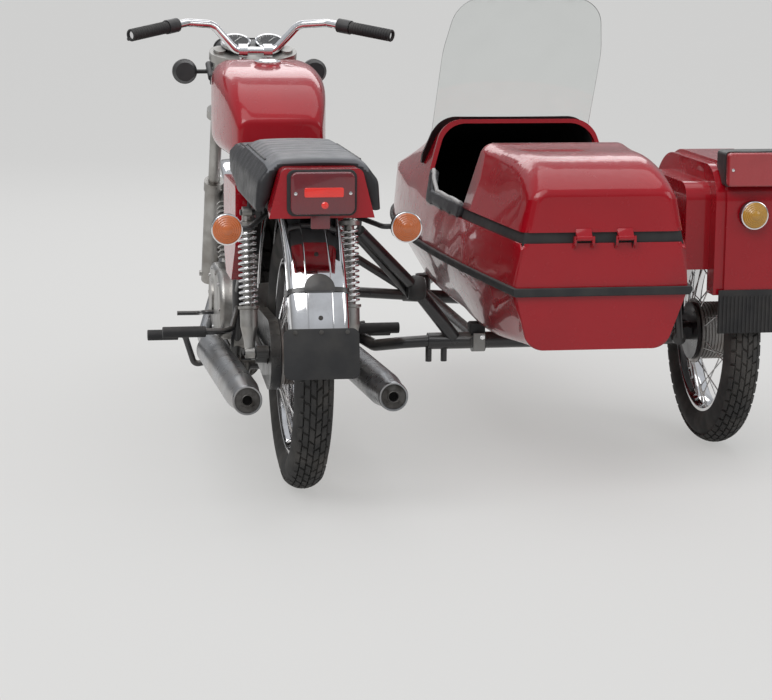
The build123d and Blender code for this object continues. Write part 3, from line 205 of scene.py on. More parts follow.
def finish(name, colour, roughness, metallic=0.0, grain=(700.0, 0.03), spread=0.08, stain=None,
           stain_scale=14.0, stain_share=0.5, dust=0.0, pattern="NOISE", coat=0.0, coat_roughness=0.04,
           transmission=0.0, ior=1.5):
    """A surface: its colour with stains and dust, uneven roughness, and a fine relief."""
    material = bpy.data.materials.new(name)
    material.use_nodes = True
    tree = material.node_tree
    shader = tree.nodes["Principled BSDF"]
    shader.inputs["Metallic"].default_value = metallic
    shader.inputs["IOR"].default_value = ior
    shader.inputs["Coat Weight"].default_value = coat
    shader.inputs["Coat Roughness"].default_value = coat_roughness
    shader.inputs["Transmission Weight"].default_value = transmission
    place = tree.nodes.new("ShaderNodeTexCoord")

    def noise(scale, detail=4.0):
        node = tree.nodes.new("ShaderNodeTexNoise")
        node.inputs["Scale"].default_value = scale
        node.inputs["Detail"].default_value = detail
        tree.links.new(place.outputs["Object"], node.inputs["Vector"])
        return node.outputs["Fac"]

    def span(value, low, high, to_low, to_high):
        node = tree.nodes.new("ShaderNodeMapRange")
        ends = {"From Min": low, "From Max": high, "To Min": to_low, "To Max": to_high}
        for socket, number in ends.items():
            node.inputs[socket].default_value = number
        tree.links.new(value, node.inputs["Value"])
        return node.outputs["Result"]

    def blended(share, first, second):
        node = tree.nodes.new("ShaderNodeMix")
        node.data_type = "RGBA"
        tree.links.new(share, node.inputs["Factor"])
        for socket, colour_in in ((node.inputs[6], first), (node.inputs[7], second)):
            if isinstance(colour_in, tuple):
                socket.default_value = (*colour_in, 1)
            else:
                tree.links.new(colour_in, socket)
        return node.outputs[2]

    stain = stain or tuple(part * 0.75 for part in colour)
    stained = span(noise(stain_scale, 6.0), 0.42, 0.68, 0.0, stain_share)
    shade = blended(stained, colour, stain)
    if dust:
        facing = tree.nodes.new("ShaderNodeNewGeometry")
        split = tree.nodes.new("ShaderNodeSeparateXYZ")
        tree.links.new(facing.outputs["Normal"], split.inputs[0])
        patch = tree.nodes.new("ShaderNodeMath")
        patch.operation = "MULTIPLY"
        tree.links.new(span(split.outputs["Z"], 0.1, 1.0, 0.0, dust), patch.inputs[0])
        tree.links.new(span(noise(45.0), 0.3, 0.7, 0.3, 1.0), patch.inputs[1])
        road_dust = (0.30, 0.27, 0.23)
        shade = blended(patch.outputs[0], shade, road_dust)
    tree.links.new(shade, shader.inputs["Base Color"])
    tree.links.new(span(noise(32.0, 5.0), 0.3, 0.7, max(roughness - spread, 0.02), roughness + spread),
                   shader.inputs["Roughness"])
    relief = tree.nodes.new("ShaderNodeBump")
    relief.inputs["Distance"].default_value = 0.001
    relief.inputs["Strength"].default_value = grain[1]
    if pattern == "CELLS":
        cells = tree.nodes.new("ShaderNodeTexVoronoi")
        cells.inputs["Scale"].default_value = grain[0]
        tree.links.new(place.outputs["Object"], cells.inputs["Vector"])
        tree.links.new(cells.outputs["Distance"], relief.inputs["Height"])
    elif pattern == "RIBS":
        ribs = tree.nodes.new("ShaderNodeTexWave")
        ribs.inputs["Scale"].default_value = grain[0]
        tree.links.new(place.outputs["Object"], ribs.inputs["Vector"])
        tree.links.new(ribs.outputs["Fac"], relief.inputs["Height"])
    else:
        tree.links.new(noise(grain[0], 3.0), relief.inputs["Height"])
    tree.links.new(relief.outputs["Normal"], shader.inputs["Normal"])
    finishes[name] = material
    return material


def only(piece):
    """Selects one piece and nothing else."""
    bpy.ops.object.select_all(action="DESELECT")
    piece.select_set(True)
    bpy.context.view_layer.objects.active = piece


def joined(pieces):
    """Several new pieces as one."""
    bpy.ops.object.select_all(action="DESELECT")
    for piece in pieces:
        piece.select_set(True)
    bpy.context.view_layer.objects.active = pieces[0]
    bpy.ops.object.join()
    return bpy.context.object


def settle(piece, name, surface, body, *stands_for, slot=None):
    """Puts a piece's place into its mesh, gives it its surface and fixes it to its body."""
    only(piece)
    bpy.ops.object.transform_apply(location=True, rotation=True, scale=True)
    piece.name = name
    piece.data.name = name
    piece.data.materials.clear()
    piece.data.materials.append(finishes[surface])
    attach(piece, body)
    if stands_for:
        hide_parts(*stands_for)
    return piece


def add_modifier(piece, kind, **values):
    """Adds a modifier, sets it and applies it."""
    only(piece)
    modifier = piece.modifiers.new(kind.lower(), kind)
    for key, value in values.items():
        setattr(modifier, key, value)
    bpy.ops.object.modifier_apply(modifier=modifier.name)


def merged(node, flat=0.3):
    """A copy of a CAD node with its triangles joined up, and those within flat degrees made one face."""
    piece = nodes[node].copy()
    piece.data = nodes[node].data.copy()
    bpy.context.scene.collection.objects.link(piece)
    for key in list(piece.keys()):
        del piece[key]
    piece.parent = None
    piece.matrix_world = Matrix.Identity(4)
    only(piece)
    bpy.ops.object.mode_set(mode="EDIT")
    bpy.ops.mesh.select_all(action="SELECT")
    bpy.ops.mesh.remove_doubles(threshold=0.00001)
    if flat:
        bpy.ops.mesh.dissolve_limited(angle_limit=math.radians(flat))
    bpy.ops.object.mode_set(mode="OBJECT")
    return piece


def dressed(node, surface, edge=0.8, smooth=32.0, slot=None, flat=0.3):
    """Stands for a CAD node whose shape is right, with its edges eased by edge in mm."""
    piece = merged(node, flat)
    if edge:
        add_modifier(piece, "BEVEL", width=edge / 1000, segments=2, limit_method="ANGLE",
                     angle_limit=math.radians(38), use_clamp_overlap=True)
    only(piece)
    bpy.ops.object.shade_smooth_by_angle(angle=math.radians(smooth))
    add_modifier(piece, "WEIGHTED_NORMAL", keep_sharp=True)
    body = body_of(nodes[node])[0]
    return settle(piece, node + "_dressed", surface, body, node, slot=slot)


finish("black_paint", (0.018, 0.018, 0.02), 0.33, grain=(260.0, 0.05), stain=(0.05, 0.045, 0.04), coat=0.35,
       coat_roughness=0.12, dust=0.35)
for node in ("main_frame", "seat_rails", "swing_arm", "chain_case", "center_stand"):
    dressed(node, "black_paint")

# The engine: a cast alloy parallel twin with polished side covers, two finned barrels, and the
# carburettor and its moulded air box behind them.

finish("alloy", (0.46, 0.45, 0.43), 0.42, metallic=1.0, grain=(420.0, 0.12), stain=(0.24, 0.22, 0.2),
       stain_share=0.8, spread=0.12)
finish("black_plastic", (0.022, 0.022, 0.023), 0.45, grain=(900.0, 0.1), stain=(0.05, 0.05, 0.05), dust=0.12)
crankcase = dressed("crankcase", "alloy", 1.5)
dressed("cylinders", "alloy", 0.5)
dressed("air_box", "black_plastic", 1.5)

# The exhausts: two chromed pipes swept under the engine into long cigar silencers, each closed by
# a dished end with a short tail pipe. Heat has tinted and dulled the plate a little.

finish("chrome_plate", (0.86, 0.86, 0.87), 0.08, metallic=1.0, grain=(90.0, 0.012), stain=(0.5, 0.48, 0.46),
       stain_scale=22.0, stain_share=0.35, spread=0.05)
finish("hot_chrome", (0.36, 0.365, 0.375), 0.30, metallic=1.0, grain=(240.0, 0.008),
       stain=(0.30, 0.27, 0.24), stain_scale=6.0, stain_share=0.6, spread=0.05)
finish("soot", (0.012, 0.011, 0.010), 0.9, grain=(300.0, 0.3))
dressed("exhausts", "hot_chrome", 0.8, slot="chrome_plate")


def lathed(profile, steps=96, start=0.0, turn=360.0, closed=True):
    """A piece turned round the x axis from (x, radius) points in mm, from +y towards +z."""
    bpy.ops.mesh.primitive_circle_add(vertices=len(profile), radius=1)
    piece = bpy.context.object
    begin = math.radians(start)
    for vertex, (x, radius) in zip(piece.data.vertices, profile):
        vertex.co = Vector((x, radius * math.cos(begin), radius * math.sin(begin))) / 1000
    bpy.ops.object.mode_set(mode="EDIT")
    if not closed:
        form = bmesh.from_edit_mesh(piece.data)
        last = [edge for edge in form.edges if {v.index for v in edge.verts} == {0, len(profile) - 1}]
        bmesh.ops.delete(form, geom=last, context="EDGES")
        bmesh.update_edit_mesh(piece.data)
    bpy.ops.mesh.select_all(action="SELECT")
    bpy.ops.mesh.spin(steps=steps, angle=math.radians(turn), center=(0, 0, 0), axis=(-1, 0, 0))
    bpy.ops.mesh.select_all(action="SELECT")
    bpy.ops.mesh.remove_doubles(threshold=0.000002)
    if closed and turn < 360:
        bpy.ops.mesh.fill_holes(sides=0)
    bpy.ops.mesh.select_all(action="SELECT")
    bpy.ops.mesh.normals_make_consistent(inside=False)
    bpy.ops.object.mode_set(mode="OBJECT")
    if not closed:
        outward = sum(face.normal.dot(Vector((0, face.center.y, face.center.z)))
                      for face in piece.data.polygons)
        if outward < 0:
            bpy.ops.object.mode_set(mode="EDIT")
            bpy.ops.mesh.flip_normals()
            bpy.ops.object.mode_set(mode="OBJECT")
    bpy.ops.object.shade_smooth_by_angle(angle=math.radians(35))
    return piece


def aim(piece, centre, direction, axis="X"):
    """Turns a piece from its own axis to a direction and puts it at a place in mm."""
    piece.rotation_mode = "QUATERNION"
    piece.rotation_quaternion = Vector(direction).to_track_quat(axis, "Y")
    piece.location = bike(*centre)
    return piece


def copied(piece, matrix):
    """A copy of a piece with its own mesh, moved by a matrix."""
    twin = piece.copy()
    twin.data = piece.data.copy()
    bpy.context.scene.collection.objects.link(twin)
    twin.data.transform(matrix)
    return twin


def fastener(target, start, way, size=5.0, tall=4.0, sides=6):
    """A bolt head on its washer, where a line from a point in mm first meets a piece."""
    bpy.context.view_layer.update()
    _, place, normal, _ = target.ray_cast(bike(*start), Vector(way).normalized())
    shape = [(-1.5, 0.2), (-1.5, size * 1.5), (0.9, size * 1.5), (1.2, size * 1.1), (1.2, size),
             (tall - 0.6, size), (tall, size * 0.85), (tall, 0.2)]
    head = aim(lathed(shape, sides), (0, 0, 0), normal)
    head.location = place
    return head


silencer_end = Vector((163, -376, 290))
silencer_way = (silencer_end - Vector((163, 560, 236))).normalized()
ring_shape = [(-7, 31.5), (-5, 33.5), (3.5, 33), (5.5, 31.5), (5, 28.5), (1.2, 27), (-1, 27), (-1, 30.5)]
cap_shape = [(0.2, 11), (6.5, 11), (7.5, 12), (6.5, 13.5), (1.8, 14.5), (0.8, 18), (0.8, 27.6), (-0.6, 27.6),
             (-0.6, 11)]
bore_shape = [(-12, 0.2), (-12, 11.6), (-2, 11.6), (-2, 11.2), (-11.5, 11.2), (-11.5, 0.2)]
screw_circle = 20.5
pipe_ends = []
pipe_caps = []
pipe_bores = []
for hand in (-1, 1):
    tip = Vector((hand * silencer_end.x, silencer_end.y, silencer_end.z))
    pipe_ends.append(aim(lathed(ring_shape, 56), tip, silencer_way))
    pipe_caps.append(aim(lathed(cap_shape, 48), tip, silencer_way))
    for spot in range(4):
        around = math.radians(45 + 90 * spot)
        screw = lathed([(0, 0.2), (0, 3), (2, 2.4), (2.4, 0.2)], 10)
        seat_point = Vector((0.7, screw_circle * math.cos(around), screw_circle * math.sin(around))) / 1000
        screw.data.transform(Matrix.Translation(seat_point))
        pipe_caps.append(aim(screw, tip, silencer_way))
    pipe_bores.append(aim(lathed(bore_shape, 24), tip, silencer_way))
finish("burnt_steel", (0.10, 0.095, 0.09), 0.5, metallic=0.7, grain=(240.0, 0.2), stain=(0.03, 0.026, 0.022),
       stain_scale=40.0, stain_share=0.9)
settle(joined(pipe_ends), "silencer_rings", "hot_chrome", "outfit", slot="chrome_plate")
settle(joined(pipe_caps), "silencer_caps", "burnt_steel", "outfit", slot="chrome_plate")
settle(joined(pipe_bores), "silencer_bores", "soot", "outfit", slot="black_paint")

# Wheels: block-tread tyres on chromed steel rims, laced by thirty-six steel spokes with nipples to
# full-width alloy drum hubs with cooling ribs.

finish("tyre_rubber", (0.030, 0.029, 0.028), 0.82, grain=(500.0, 0.25), stain=(0.10, 0.092, 0.082),
       stain_share=0.6, dust=0.12)
finish("hub_alloy", (0.33, 0.32, 0.31), 0.42, metallic=1.0, grain=(300.0, 0.1), stain=(0.16, 0.12, 0.10),
       stain_share=0.8, spread=0.1)
finish("spoke_steel", (0.62, 0.62, 0.62), 0.25, metallic=1.0, grain=(200.0, 0.05), stain=(0.35, 0.3, 0.26))
lug_depth = 5.0
lug_pitches = 50


def tyre_piece(width, radius, rim_radius):
    """A tyre round the x axis: a round carcass with ribs on each wall, and close rows of blocks."""
    half = width / 2 - 0.6
    tall = (radius - lug_depth - rim_radius) / 2 + 3
    middle_radius = radius - lug_depth - tall
    profile = []
    steps = 32
    wall_from = -50
    wall_sweep = 280
    for index in range(steps + 1):
        angle = math.radians(wall_from + wall_sweep * index / steps)
        rib = 0.7 if index in (5, 7, 9, steps - 5, steps - 7, steps - 9) else 0.0
        profile.append(((half - 0.8 + rib) * math.cos(angle), middle_radius + tall * math.sin(angle)))
    profile += [(x * 0.82, middle_radius + (r - middle_radius) * 0.84) for x, r in reversed(profile)]
    carcass = lathed(profile, 96)
    pitch = 2 * math.pi * radius / lug_pitches
    # degrees from the crown, width in mm, skew as a share of the width, length in pitches, shift along
    rows = [(8.2, 12.0, 0.75, 0.86, 0.0), (25.0, 13.0, 0.35, 0.84, 0.42), (42.5, 13.5, -0.15, 0.80, 0.1)]
    lugs = []
    for hand in (-1, 1):
        for lean, wide, skew, long, shift in rows:
            bpy.ops.mesh.primitive_cube_add(size=1)
            block = bpy.context.object
            for vertex in block.data.vertices:
                top = vertex.co.z > 0
                vertex.co.x *= wide * (0.9 if top else 1.0) / 1000
                vertex.co.y *= pitch * long * (0.94 if top else 1.0) / 1000
                vertex.co.y += hand * vertex.co.x * skew
                vertex.co.z = lug_depth / 1000 if top else -0.004
            add_modifier(block, "BEVEL", width=0.0007, segments=1)
            angle = math.radians(90 - hand * lean)
            foot = Vector((half * math.cos(angle), 0, middle_radius + tall * math.sin(angle))) / 1000
            shape = Matrix.Translation(foot) @ Matrix.Rotation(math.radians(hand * lean), 4, "Y")
            for index in range(lug_pitches):
                turn = 2 * math.pi * (index + shift + (0.5 if hand > 0 else 0.0)) / lug_pitches
                lugs.append(copied(block, Matrix.Rotation(turn, 4, "X") @ shape))
            bpy.data.objects.remove(block)
    return joined([carcass] + lugs)


def spoke_set(rim_radius):
    """Thirty-six crossed spokes with their nipples, round the x axis."""
    spokes = []
    flange_x = 47
    flange_radius = 79
    nipple_x = 6
    rim_well = 6
    for hand, lean in ((-1, 14), (-1, -14), (1, 14), (1, -14)):
        inner = Matrix.Rotation(math.radians(lean), 3, "X") @ Vector((hand * flange_x, 0, flange_radius))
        outer = Vector((hand * nipple_x, 0, rim_radius - rim_well))
        way = outer - inner
        turn = way.to_track_quat("Z", "Y").to_matrix().to_4x4()
        # start and end as shares of the length, radius in mm, sides: the wire, then its nipple
        for start, end, thick, sides in ((0.0, 1.0, 1.7, 8), (0.93, 1.0, 3.2, 6)):
            bpy.ops.mesh.primitive_cylinder_add(vertices=sides, radius=thick / 1000,
                                                depth=way.length * (end - start) / 1000)
            bar = bpy.context.object
            bar.data.transform(Matrix.Translation((inner + way * (start + end) / 2) / 1000) @ turn)
            base = 10 * (0 if lean > 0 else 1) + (0 if hand > 0 else 20)
            for index in range(9):
                spokes.append(copied(bar, Matrix.Rotation(math.radians(base + 40 * index), 4, "X")))
            bpy.data.objects.remove(bar)
    piece = joined(spokes)
    only(piece)
    bpy.ops.object.shade_smooth_by_angle(angle=math.radians(50))
    return piece


rim_shape = [(-31, 10.5), (-28.5, 10.5), (-27, 0.5), (-20, -1), (-12, -5.5), (12, -5.5), (20, -1), (27, 0.5),
             (28.5, 10.5), (31, 10.5), (30.5, -1.5), (22, -4), (13, -9), (-13, -9), (-22, -4), (-30.5, -1.5)]
hub_shape = [(-50, 9), (-50, 26), (-46, 30), (-46, 62), (-50, 66), (-50, 84), (-45, 84), (-43, 76)]
for rib in range(9):
    x = -38 + 8.4 * rib
    hub_shape += [(x, 72), (x + 1.2, 74.5), (x + 5.2, 74.5), (x + 6.4, 72)]
hub_shape += [(43, 76), (45, 84), (50, 84), (50, 66), (46, 62), (46, 30), (50, 26), (50, 9)]
# name, x, y, tyre radius, tyre width, rim radius
wheels = [("rear", 0, 0, 320, 92, 230), ("front", 0, 1335, 312, 86, 230),
          ("sidecar", 1130, 344, 292, 92, 205)]
for name, x, y, radius, width, rim_radius in wheels:
    centre = (x, y, radius)
    body = name + "_roller"
    tyre = tyre_piece(width, radius, rim_radius)
    tyre.location = bike(*centre)
    settle(tyre, name + "_block_tyre", "tyre_rubber", body, name + "_tyre")
    rim = lathed([(px, rim_radius + pr) for px, pr in rim_shape], 120)
    add_modifier(rim, "BEVEL", width=0.0012, segments=2, limit_method="ANGLE", angle_limit=0.5)
    rim.location = bike(*centre)
    settle(rim, name + "_rim", "chrome_plate", body, name + "_wheel")
    spokes = spoke_set(rim_radius)
    spokes.location = bike(*centre)
    settle(spokes, name + "_spokes", "spoke_steel", body, slot="chrome_plate")
    hub = lathed(hub_shape, 72)
    hub.location = bike(*centre)
    settle(hub, name + "_hub", "hub_alloy", body, slot="alloy")

# Suspension: alloy shock bodies with chromed coil springs, and a fork with alloy sliders on chromed
# tubes, held by two cast yokes.

for node in ("shock_bodies", "fork_legs", "fork_yokes"):
    dressed(node, "alloy")
shock_low = Vector((121, -35, 332))
shock_high = Vector((121, 24, 655))
shock_way = shock_high - shock_low
coil_low = 109.5
coil_high = shock_way.length - 35.5
coil_turns = 13
wire = 3.4
wire_circle = 19.3
springs = []
for hand in (-1, 1):
    bpy.ops.mesh.primitive_circle_add(vertices=10, radius=wire / 1000)
    coil = bpy.context.object
    wire_place = Matrix.Translation((wire_circle / 1000, 0, 0))
    coil.data.transform(wire_place @ Matrix.Rotation(math.pi / 2, 4, "X"))
    coil_pitch = (coil_high - coil_low - 2 * wire) / coil_turns
    add_modifier(coil, "SCREW", axis="Z", angle=2 * math.pi, iterations=coil_turns, steps=26,
                 render_steps=26, screw_offset=coil_pitch / 1000)
    bpy.ops.object.mode_set(mode="EDIT")
    bpy.ops.mesh.select_all(action="SELECT")
    bpy.ops.mesh.fill_holes(sides=0)
    bpy.ops.mesh.normals_make_consistent(inside=False)
    bpy.ops.object.mode_set(mode="OBJECT")
    bpy.ops.object.shade_smooth_by_angle(angle=math.radians(60))
    foot = shock_low + shock_way.normalized() * (coil_low + wire)
    springs.append(aim(coil, (hand * foot.x, foot.y, foot.z), shock_way, "Z"))
settle(joined(springs), "coil_springs", "chrome_plate", "outfit", "shock_springs")

# Mudguards of the bike: bright sheet steel rolled to a crown, with a bead along each edge. The rear
# one has a black stay across it and a rubber flap riveted to its end.


def moulded(wide, deep, high, corner, ease, centre):
    """A block in mm with its four fore-and-aft corners rounded and its edges eased."""
    bpy.ops.mesh.primitive_cube_add(size=1)
    piece = bpy.context.object
    piece.data.transform(Matrix.Diagonal((wide / 1000, deep / 1000, high / 1000, 1)))
    bpy.ops.object.mode_set(mode="EDIT")
    bpy.ops.mesh.select_mode(type="EDGE")
    form = bmesh.from_edit_mesh(piece.data)
    for edge in form.edges:
        run = edge.verts[0].co - edge.verts[1].co
        edge.select_set(abs(run.y) > 0.9 * run.length)
    bmesh.update_edit_mesh(piece.data)
    bpy.ops.mesh.bevel(offset=corner / 1000, segments=6, affect="EDGES")
    bpy.ops.mesh.select_mode(type="VERT")
    bpy.ops.object.mode_set(mode="OBJECT")
    add_modifier(piece, "BEVEL", width=ease / 1000, segments=3, limit_method="ANGLE", angle_limit=0.9)
    bpy.ops.object.shade_smooth_by_angle(angle=math.radians(40))
    piece.location = bike(*centre)
    return piece


def rolled_guard(half, skirt, radius, start, turn, steps):
    """A sheet mudguard round the x axis: turned-down sides, a raised middle and a beaded edge."""
    crown = [(-half, radius - skirt), (-half, radius - 22), (-half + 1.5, radius - 15),
             (-half + 6, radius - 9), (-half + 14, radius - 5), (-31, radius - 2.8), (-28, radius - 2.2),
             (-26, radius - 0.2), (-23, radius)]
    crown += [(-x, r) for x, r in reversed(crown)]
    sheet = lathed(crown, steps, start, turn, closed=False)
    add_modifier(sheet, "SOLIDIFY", thickness=0.0016, offset=-1)
    only(sheet)
    bpy.ops.object.shade_smooth_by_angle(angle=math.radians(50))
    pieces = [sheet]
    for hand in (-1, 1):
        bead = [(hand * (half - 0.6) + 2.3 * math.cos(a), radius - skirt + 2.3 * math.sin(a))
                for a in [math.pi * step / 4 for step in range(8)]]
        pieces.append(lathed(bead, steps, start, turn))
    return joined(pieces)


guard_half = 66
guard_skirt = 36
guard_steps = 100
guard_foot = Vector((0, -30, 355))
guard_radius = 362


def on_guard(angle, above):
    """A point on the rear mudguard's middle line, above its crown in mm, and the way out from there."""
    out = Vector((0, math.cos(math.radians(angle)), math.sin(math.radians(angle))))
    return guard_foot + out * (guard_radius + above), out


rear_guard = rolled_guard(guard_half, guard_skirt, guard_radius, 14, 155, guard_steps)
rear_guard.location = bike(*guard_foot)
rear_guard = settle(rear_guard, "rear_bright_guard", "chrome_plate", "outfit", "rear_mudguard")
stay_outside = [(70, 326), (70, 343), (67.5, 351), (60, 357), (50, 361), (30, 364.5)]
stay_inside = [(67.6, 326), (67.6, 342), (65.5, 349), (58.5, 354.6), (49, 358.6), (30, 362.2)]
stay_shape = [(-x, r) for x, r in stay_outside] + stay_outside[::-1]
stay_shape += stay_inside + [(-x, r) for x, r in stay_inside[::-1]]
stay_angle = 151.2
stay_width = 1.6
stay = lathed(stay_shape, 3, stay_angle - stay_width / 2, stay_width)
stay.location = bike(*guard_foot)
hump_place, hump_out = on_guard(stay_angle, 2)
bpy.ops.mesh.primitive_cylinder_add(vertices=40, radius=0.034, depth=0.014)
hump = bpy.context.object
bpy.ops.object.mode_set(mode="EDIT")
bpy.ops.mesh.select_all(action="SELECT")
bpy.ops.mesh.bisect(plane_co=(0, -0.006, 0), plane_no=(0, 1, 0), clear_inner=True, use_fill=True)
bpy.ops.object.mode_set(mode="OBJECT")
add_modifier(hump, "BEVEL", width=0.003, segments=3, limit_method="ANGLE", angle_limit=0.9)
bpy.ops.object.shade_smooth_by_angle(angle=math.radians(40))
hump_turn = Matrix(((1, 0, 0), (0, hump_out.z, hump_out.y), (0, -hump_out.y, hump_out.z)))
hump.data.transform(hump_turn.to_4x4())
hump.location = bike(*hump_place)
settle(joined([stay, hump]), "guard_stay", "black_paint", "outfit")
guard_screws = []
for angle in (137.4, 161.5):
    place, out = on_guard(angle, 30)
    guard_screws.append(fastener(rear_guard, place, -out, 3.6, 2.5, 12))
settle(joined(guard_screws), "guard_screws", "burnt_steel", "outfit", slot="alloy")
front_hub = Vector((0, 1335, 312))
front_guard = rolled_guard(guard_half, guard_skirt, 338, 22, 158, guard_steps)
front_guard.location = bike(*front_hub)
settle(front_guard, "front_bright_guard", "chrome_plate", "steering", "front_mudguard")
brace_radius = 4.5
brace_reach = 316
braces = []
for hand in (-1, 1):
    for angle in (math.radians(30), math.radians(150)):
        foot = Vector((hand * 68, 1339, 344))
        skirt = front_hub + Vector((hand * 63, brace_reach * math.cos(angle), brace_reach * math.sin(angle)))
        reach = skirt - foot
        rod = [(0, 0.2), (0, brace_radius), (reach.length, brace_radius), (reach.length, 0.2)]
        braces.append(aim(lathed(rod, 16), foot, reach))
settle(joined(braces), "front_guard_braces", "chrome_plate", "steering")
finish("black_rubber", (0.016, 0.016, 0.017), 0.66, grain=(800.0, 0.15), stain=(0.045, 0.042, 0.038),
       dust=0.08)
flap = moulded(168, 4.5, 112, 16, 1.2, (0, -391.5, 392.5))
flap.rotation_euler = (math.radians(-9.8), 0, 0)
flap = settle(flap, "rear_rubber_flap", "black_rubber", "outfit", "rear_mudflap")
flap_rivets = [fastener(flap, (x, -500, 440), (0, 1, 0), 3.4, 2.2, 14) for x in (-58, 0, 58)]
settle(joined(flap_rivets), "flap_rivets", "burnt_steel", "outfit", slot="alloy")

# Bodywork of the bike: tank, side covers and the cowl round the tail lamp, pressed from sheet steel,
# welded and sprayed deep red under a clear coat. The tank has a chromed, hinged filler cap.

red = finish("red_paint", (0.33, 0.003, 0.010), 0.24, grain=(60.0, 0.010), stain=(0.24, 0.002, 0.007),
             stain_scale=4.0, coat=0.6, coat_roughness=0.03, spread=0.05)
red.node_tree.nodes["Principled BSDF"].inputs["Specular IOR Level"].default_value = 0.2
for node in ("side_covers", "tail_cowl"):
    dressed(node, "red_paint", 3.0)
tank = merged("fuel_tank")
add_modifier(tank, "REMESH", mode="VOXEL", voxel_size=0.0055)
add_modifier(tank, "SMOOTH", factor=0.5, iterations=14)
only(tank)
bpy.ops.object.shade_smooth()
settle(tank, "petrol_tank", "red_paint", "outfit", "fuel_tank")
cap_profile = [(-6, 0.2), (-6, 29), (3, 30), (3, 34.5), (5, 35.5), (12, 35.5), (14.5, 33.5), (16, 24),
               (17.5, 20), (17.5, 0.2)]
filler_cap = aim(lathed(cap_profile, 48), (0, 650, 960), (0, 0, 1))
settle(filler_cap, "filler_cap", "chrome_plate", "outfit")

# The tail lamp: a moulded red lens on a black gasket with a brighter reflector across its middle,
# two chromed screws, and the red tab of the number lamp under it.

finish("red_lens", (0.15, 0.012, 0.018), 0.16, grain=(105.0, 0.5), pattern="RIBS", coat=0.8,
       stain=(0.10, 0.02, 0.03))
finish("reflector_red_and_glint", (0.85, 0.03, 0.02), 0.12, grain=(420.0, 0.5), pattern="CELLS", coat=0.8)
finish("yellow_lens", (0.48, 0.25, 0.03), 0.18, grain=(320.0, 0.35), pattern="CELLS", coat=0.7)
# The side lamp's lens is a paler red than the tail lens: partly its hazed plastic, partly painted light, as
# the lens looks where light falls on it.
finish("hazed_lit_red_lens", (0.36, 0.035, 0.04), 0.2, grain=(105.0, 0.4), pattern="RIBS", coat=0.6)
finish("amber_lens", (0.52, 0.13, 0.03), 0.18, grain=(320.0, 0.35), pattern="CELLS", coat=0.7)
tail_z = 748
settle(moulded(140, 16, 92, 14, 4, (0, -396, tail_z)), "tail_lens", "red_lens", "outfit", "tail_lamp")
settle(moulded(153, 6, 101, 17, 1.5, (-1, -390, tail_z)), "tail_gasket", "black_rubber", "outfit")
settle(moulded(86, 4, 21, 4, 1, (2, -403.6, 750)), "tail_reflector", "reflector_red_and_glint", "outfit",
       slot="red_lens")
settle(moulded(42, 5, 34, 3, 1, (-4, -389, 686)), "number_lamp_tab", "red_lens", "outfit")
# A small dome in the reflector's bright red, below the reflector, is painted highlight: it stands for a
# glint of light on the lens.
glint_dome_shape = [(-3, 0.2), (-3, 9.5), (0, 9.5), (3, 7), (4.5, 3.5), (5, 0.2)]
glint_dome = aim(lathed(glint_dome_shape, 28), (4, -402, 722), (0, -1, 0))
settle(glint_dome, "tail_glint_dome", "reflector_red_and_glint", "outfit", slot="red_lens")
lens_screw = [(0, 0.2), (0, 4.2), (1.6, 3.6), (2.4, 0.2)]
screws = [aim(lathed(lens_screw, 16), (x, -403.4, tail_z), (0, -1, 0)) for x in (-60, 60)]
settle(joined(screws), "tail_screws", "chrome_plate", "outfit")

# Indicators: round shells moulded in black plastic on bent stalks. Each lens is stepped amber
# plastic, held by a bright rim pressed over its edge.

for node in ("indicator_shells", "front_indicators"):
    dressed(node, "black_plastic", 1.0)
lamp_middle = (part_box("headlamp_glass")[0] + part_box("headlamp_glass")[1]) / 2 - axle_foot
front_lens_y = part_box("front_lenses")[0].y * 1000 - axle_foot.y * 1000
front_lens_z = (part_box("front_lenses")[0].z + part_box("front_lenses")[1].z) * 500
lens_shape = [(0, 0.2), (0, 32.4), (4, 32.4)]
for ring in range(5):
    lens_shape += [(6 + 1.3 * ring, 30.5 - 4.6 * ring), (7.6 + 1.3 * ring, 28.5 - 4.6 * ring)]
lens_shape += [(13.6, 0.2)]
rim_ring = [(-2, 31), (-2, 34.6), (3.5, 34.6), (4.5, 33), (4.5, 31)]
# body, x, y, z, way it faces
flashers = [("outfit", -200, -312, 660, -1), ("outfit", 200, -312, 660, -1),
            ("outfit", 1126, 31.7, 632, -1), ("steering", -182, front_lens_y, front_lens_z, 1),
            ("steering", 182, front_lens_y, front_lens_z, 1)]
for group, body, node in (("rear", "outfit", "indicator_lenses"), ("front", "steering", "front_lenses")):
    lenses = []
    rims = []
    for owner, x, y, z, way in flashers:
        if owner == body:
            lens = aim(lathed(lens_shape, 48), (x, y, z), (0, way, 0))
            if x > 1000:
                settle(lens, "side_flasher_lens", "yellow_lens", body, slot="amber_lens")
            else:
                lenses.append(lens)
            rims.append(aim(lathed(rim_ring, 48), (x, y, z), (0, way, 0)))
    settle(joined(lenses), group + "_flasher_lenses", "amber_lens", body, node)
    settle(joined(rims), group + "_flasher_rims", "chrome_plate", body)

# The dual seat: foam on a steel base under grained vinyl, with a grey top panel sewn in channels,
# black sides, and piping along the join.

finish("black_vinyl", (0.014, 0.014, 0.016), 0.42, grain=(520.0, 0.35), pattern="CELLS",
       stain=(0.032, 0.032, 0.034))
finish("grey_vinyl", (0.115, 0.12, 0.13), 0.46, grain=(520.0, 0.35), pattern="CELLS",
       stain=(0.12, 0.12, 0.125), dust=0.1)


def upholstered(node, voxel, rounds):
    """A soft copy of a CAD node: joined up, remeshed evenly in mm, its corners worn round."""
    piece = merged(node)
    add_modifier(piece, "REMESH", mode="VOXEL", voxel_size=voxel / 1000)
    add_modifier(piece, "SMOOTH", factor=0.5, iterations=rounds)
    return piece


